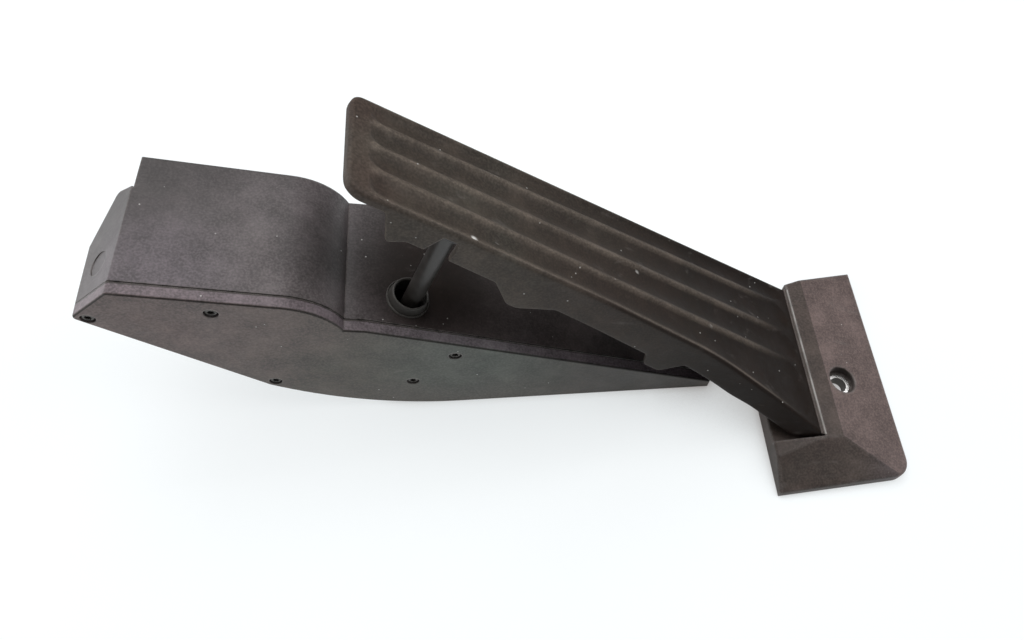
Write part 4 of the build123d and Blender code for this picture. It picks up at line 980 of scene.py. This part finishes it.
class PEDAL_OT_linkage(bpy.types.Operator):
    """Push rod, its socket, and the lever, springs and sensor inside the housing"""

    bl_idname = "pedal.linkage"
    bl_label = "Linkage and Sensor"

    def execute(self, context):
        black = smooth("rod_black", (0.024, 0.021, 0.019), 0.38, (0.040, 0.036, 0.033))
        inner = smooth("inner_plastic", (0.020, 0.020, 0.022), 0.5, (0.035, 0.035, 0.037))
        steel = metal("spring_steel", (0.55, 0.54, 0.52), 0.3, 0.4, (0.25, 0.24, 0.22))
        bronze = metal("bush_bronze", (0.55, 0.36, 0.14), 0.4, 0.5, (0.28, 0.17, 0.07))
        magnet = metal("magnet_iron", (0.16, 0.16, 0.17), 0.55, 0.5, (0.08, 0.08, 0.085))
        finishes = {
            "push_rod": black, "ball_socket": inner, "sensor_lever": inner, "spring_seat": inner,
            "friction_washer": smooth("washer_acetal", (0.62, 0.60, 0.54), 0.45, (0.5, 0.48, 0.42)),
            "axle_pin": steel, "board_screws": steel,
            "hub_bush_near": bronze, "hub_bush_far": bronze, "sensor_magnet": magnet,
            "circuit_board": circuit("board_lacquer"),
            "sensor_chips": smooth("chip_epoxy", (0.012, 0.012, 0.013), 0.4, (0.02, 0.02, 0.022)),
        }
        for node, material in finishes.items():
            dress_node(node, material)
        for node, name in (("return_spring_outer", "outer_coil"), ("return_spring_inner", "inner_coil")):
            coil = joined(node, name)
            smooth_by_angle(coil.data, radians(40))
            place(dress(coil, steel), "housing", "steel", node)
            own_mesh(coil)
        return {"FINISHED"}


class PEDAL_OT_stage(bpy.types.Operator):
    """Pale floor, soft studio light and the camera"""

    bl_idname = "pedal.stage"
    bl_label = "Stage"

    def execute(self, context):
        scene, looks = context.scene, context.scene.pedal_stage
        mesh = bpy.data.meshes.new("floor")
        mesh.from_pydata([(-4, -4, 0), (4, -4, 0), (4, 4, 0), (-4, 4, 0)], [], [(0, 1, 2, 3)])
        floor = piece("floor", mesh)
        finish = Finish("floor_paper")
        paper = tuple(looks.floor)
        tone = finish.blend(finish.noise(0.4, 2.0), paper, tuple(part * 0.985 for part in paper))
        # Painted shadow: the floor's glow is darkened under the tread's hinge end and where the pedal meets
        # the floor
        shade = finish.hollow(0.045).rise(0.3, 0.85) * finish.near(*FLOOR_SHADE) * 0.6
        contact_shadow = finish.hollow(0.006).rise(0.2, 0.9) * 0.5
        glow = finish.blend((shade + contact_shadow).at_most(1.0), tuple(looks.glow_tint), tuple(looks.shade))
        dress(floor, finish.close(Base_Color=tone, Roughness=0.9, Emission_Color=glow,
                                  Emission_Strength=looks.glow))
        aim = Vector(looks.aim)
        for name, turn, rise, power in LAMPS:
            lamp = bpy.data.lights.new(name, "AREA")
            lamp.energy = power * looks.light
            lamp.size = looks.lamp_size
            flat = cos(radians(rise))
            away = Vector((cos(radians(turn)) * flat, sin(radians(turn)) * flat, sin(radians(rise))))
            holder = piece(name, lamp)
            holder.location = aim + away * looks.lamp_reach
            holder.rotation_euler = (-away).to_track_quat("-Z", "Y").to_euler()
        scene.world = bpy.data.worlds.new("studio")
        scene.world.use_nodes = True
        backdrop = Bench(scene.world.node_tree)
        backdrop.tree.nodes.clear()
        seen = backdrop.add("ShaderNodeLightPath", output="Is Camera Ray")
        haze = backdrop.add("ShaderNodeBackground", None,
                            {"Color": tuple(looks.glow_tint), "Strength": seen * looks.glow})
        backdrop.add("ShaderNodeOutputWorld", None, {"Surface": haze})
        camera = bpy.data.cameras.new("camera")
        camera.lens = looks.lens
        camera.clip_start = 0.01
        eye = piece("camera", camera)
        eye.location = looks.camera
        eye.rotation_euler = (aim - Vector(looks.camera)).to_track_quat("-Z", "Y").to_euler()
        scene.camera = eye
        scene.view_settings.view_transform = "Standard"
        return {"FINISHED"}


class PEDAL_PT_sidebar(bpy.types.Panel):
    """Pieces of the pedal and their sizes"""

    bl_idname = "PEDAL_PT_sidebar"
    bl_label = "Accelerator Pedal"
    bl_space_type = "VIEW_3D"
    bl_region_type = "UI"
    bl_category = "Pedal"

    def draw(self, context):
        for operator in OPERATORS:
            self.layout.operator(operator.bl_idname)
        for label in GROUPS:
            box = self.layout.box()
            group = getattr(context.scene, label)
            for name in group.__annotations__:
                box.prop(group, name)


GROUPS = {
    "pedal_tread": TreadSizes,
    "pedal_housing": HousingSizes,
    "pedal_collar": CollarSizes,
    "pedal_screw": ScrewSizes,
    "pedal_spring": SpringSizes,
    "pedal_plastic": PlasticLooks,
    "pedal_stage": StageLooks,
}
OPERATORS = (PEDAL_OT_housing, PEDAL_OT_screws, PEDAL_OT_tread, PEDAL_OT_heel, PEDAL_OT_linkage,
             PEDAL_OT_stage)
CLASSES = (*GROUPS.values(), *OPERATORS, PEDAL_PT_sidebar)


def register():
    for made in CLASSES:
        bpy.utils.register_class(made)
    for label, group in GROUPS.items():
        setattr(bpy.types.Scene, label, PointerProperty(type=group))


def unregister():
    for label in GROUPS:
        delattr(bpy.types.Scene, label)
    for made in reversed(CLASSES):
        bpy.utils.unregister_class(made)


def main():
    register()
    bpy.ops.pedal.housing()
    bpy.ops.pedal.screws()
    bpy.ops.pedal.tread()
    bpy.ops.pedal.heel()
    bpy.ops.pedal.linkage()
    bpy.ops.pedal.stage()


if __name__ == "__main__":
    main()
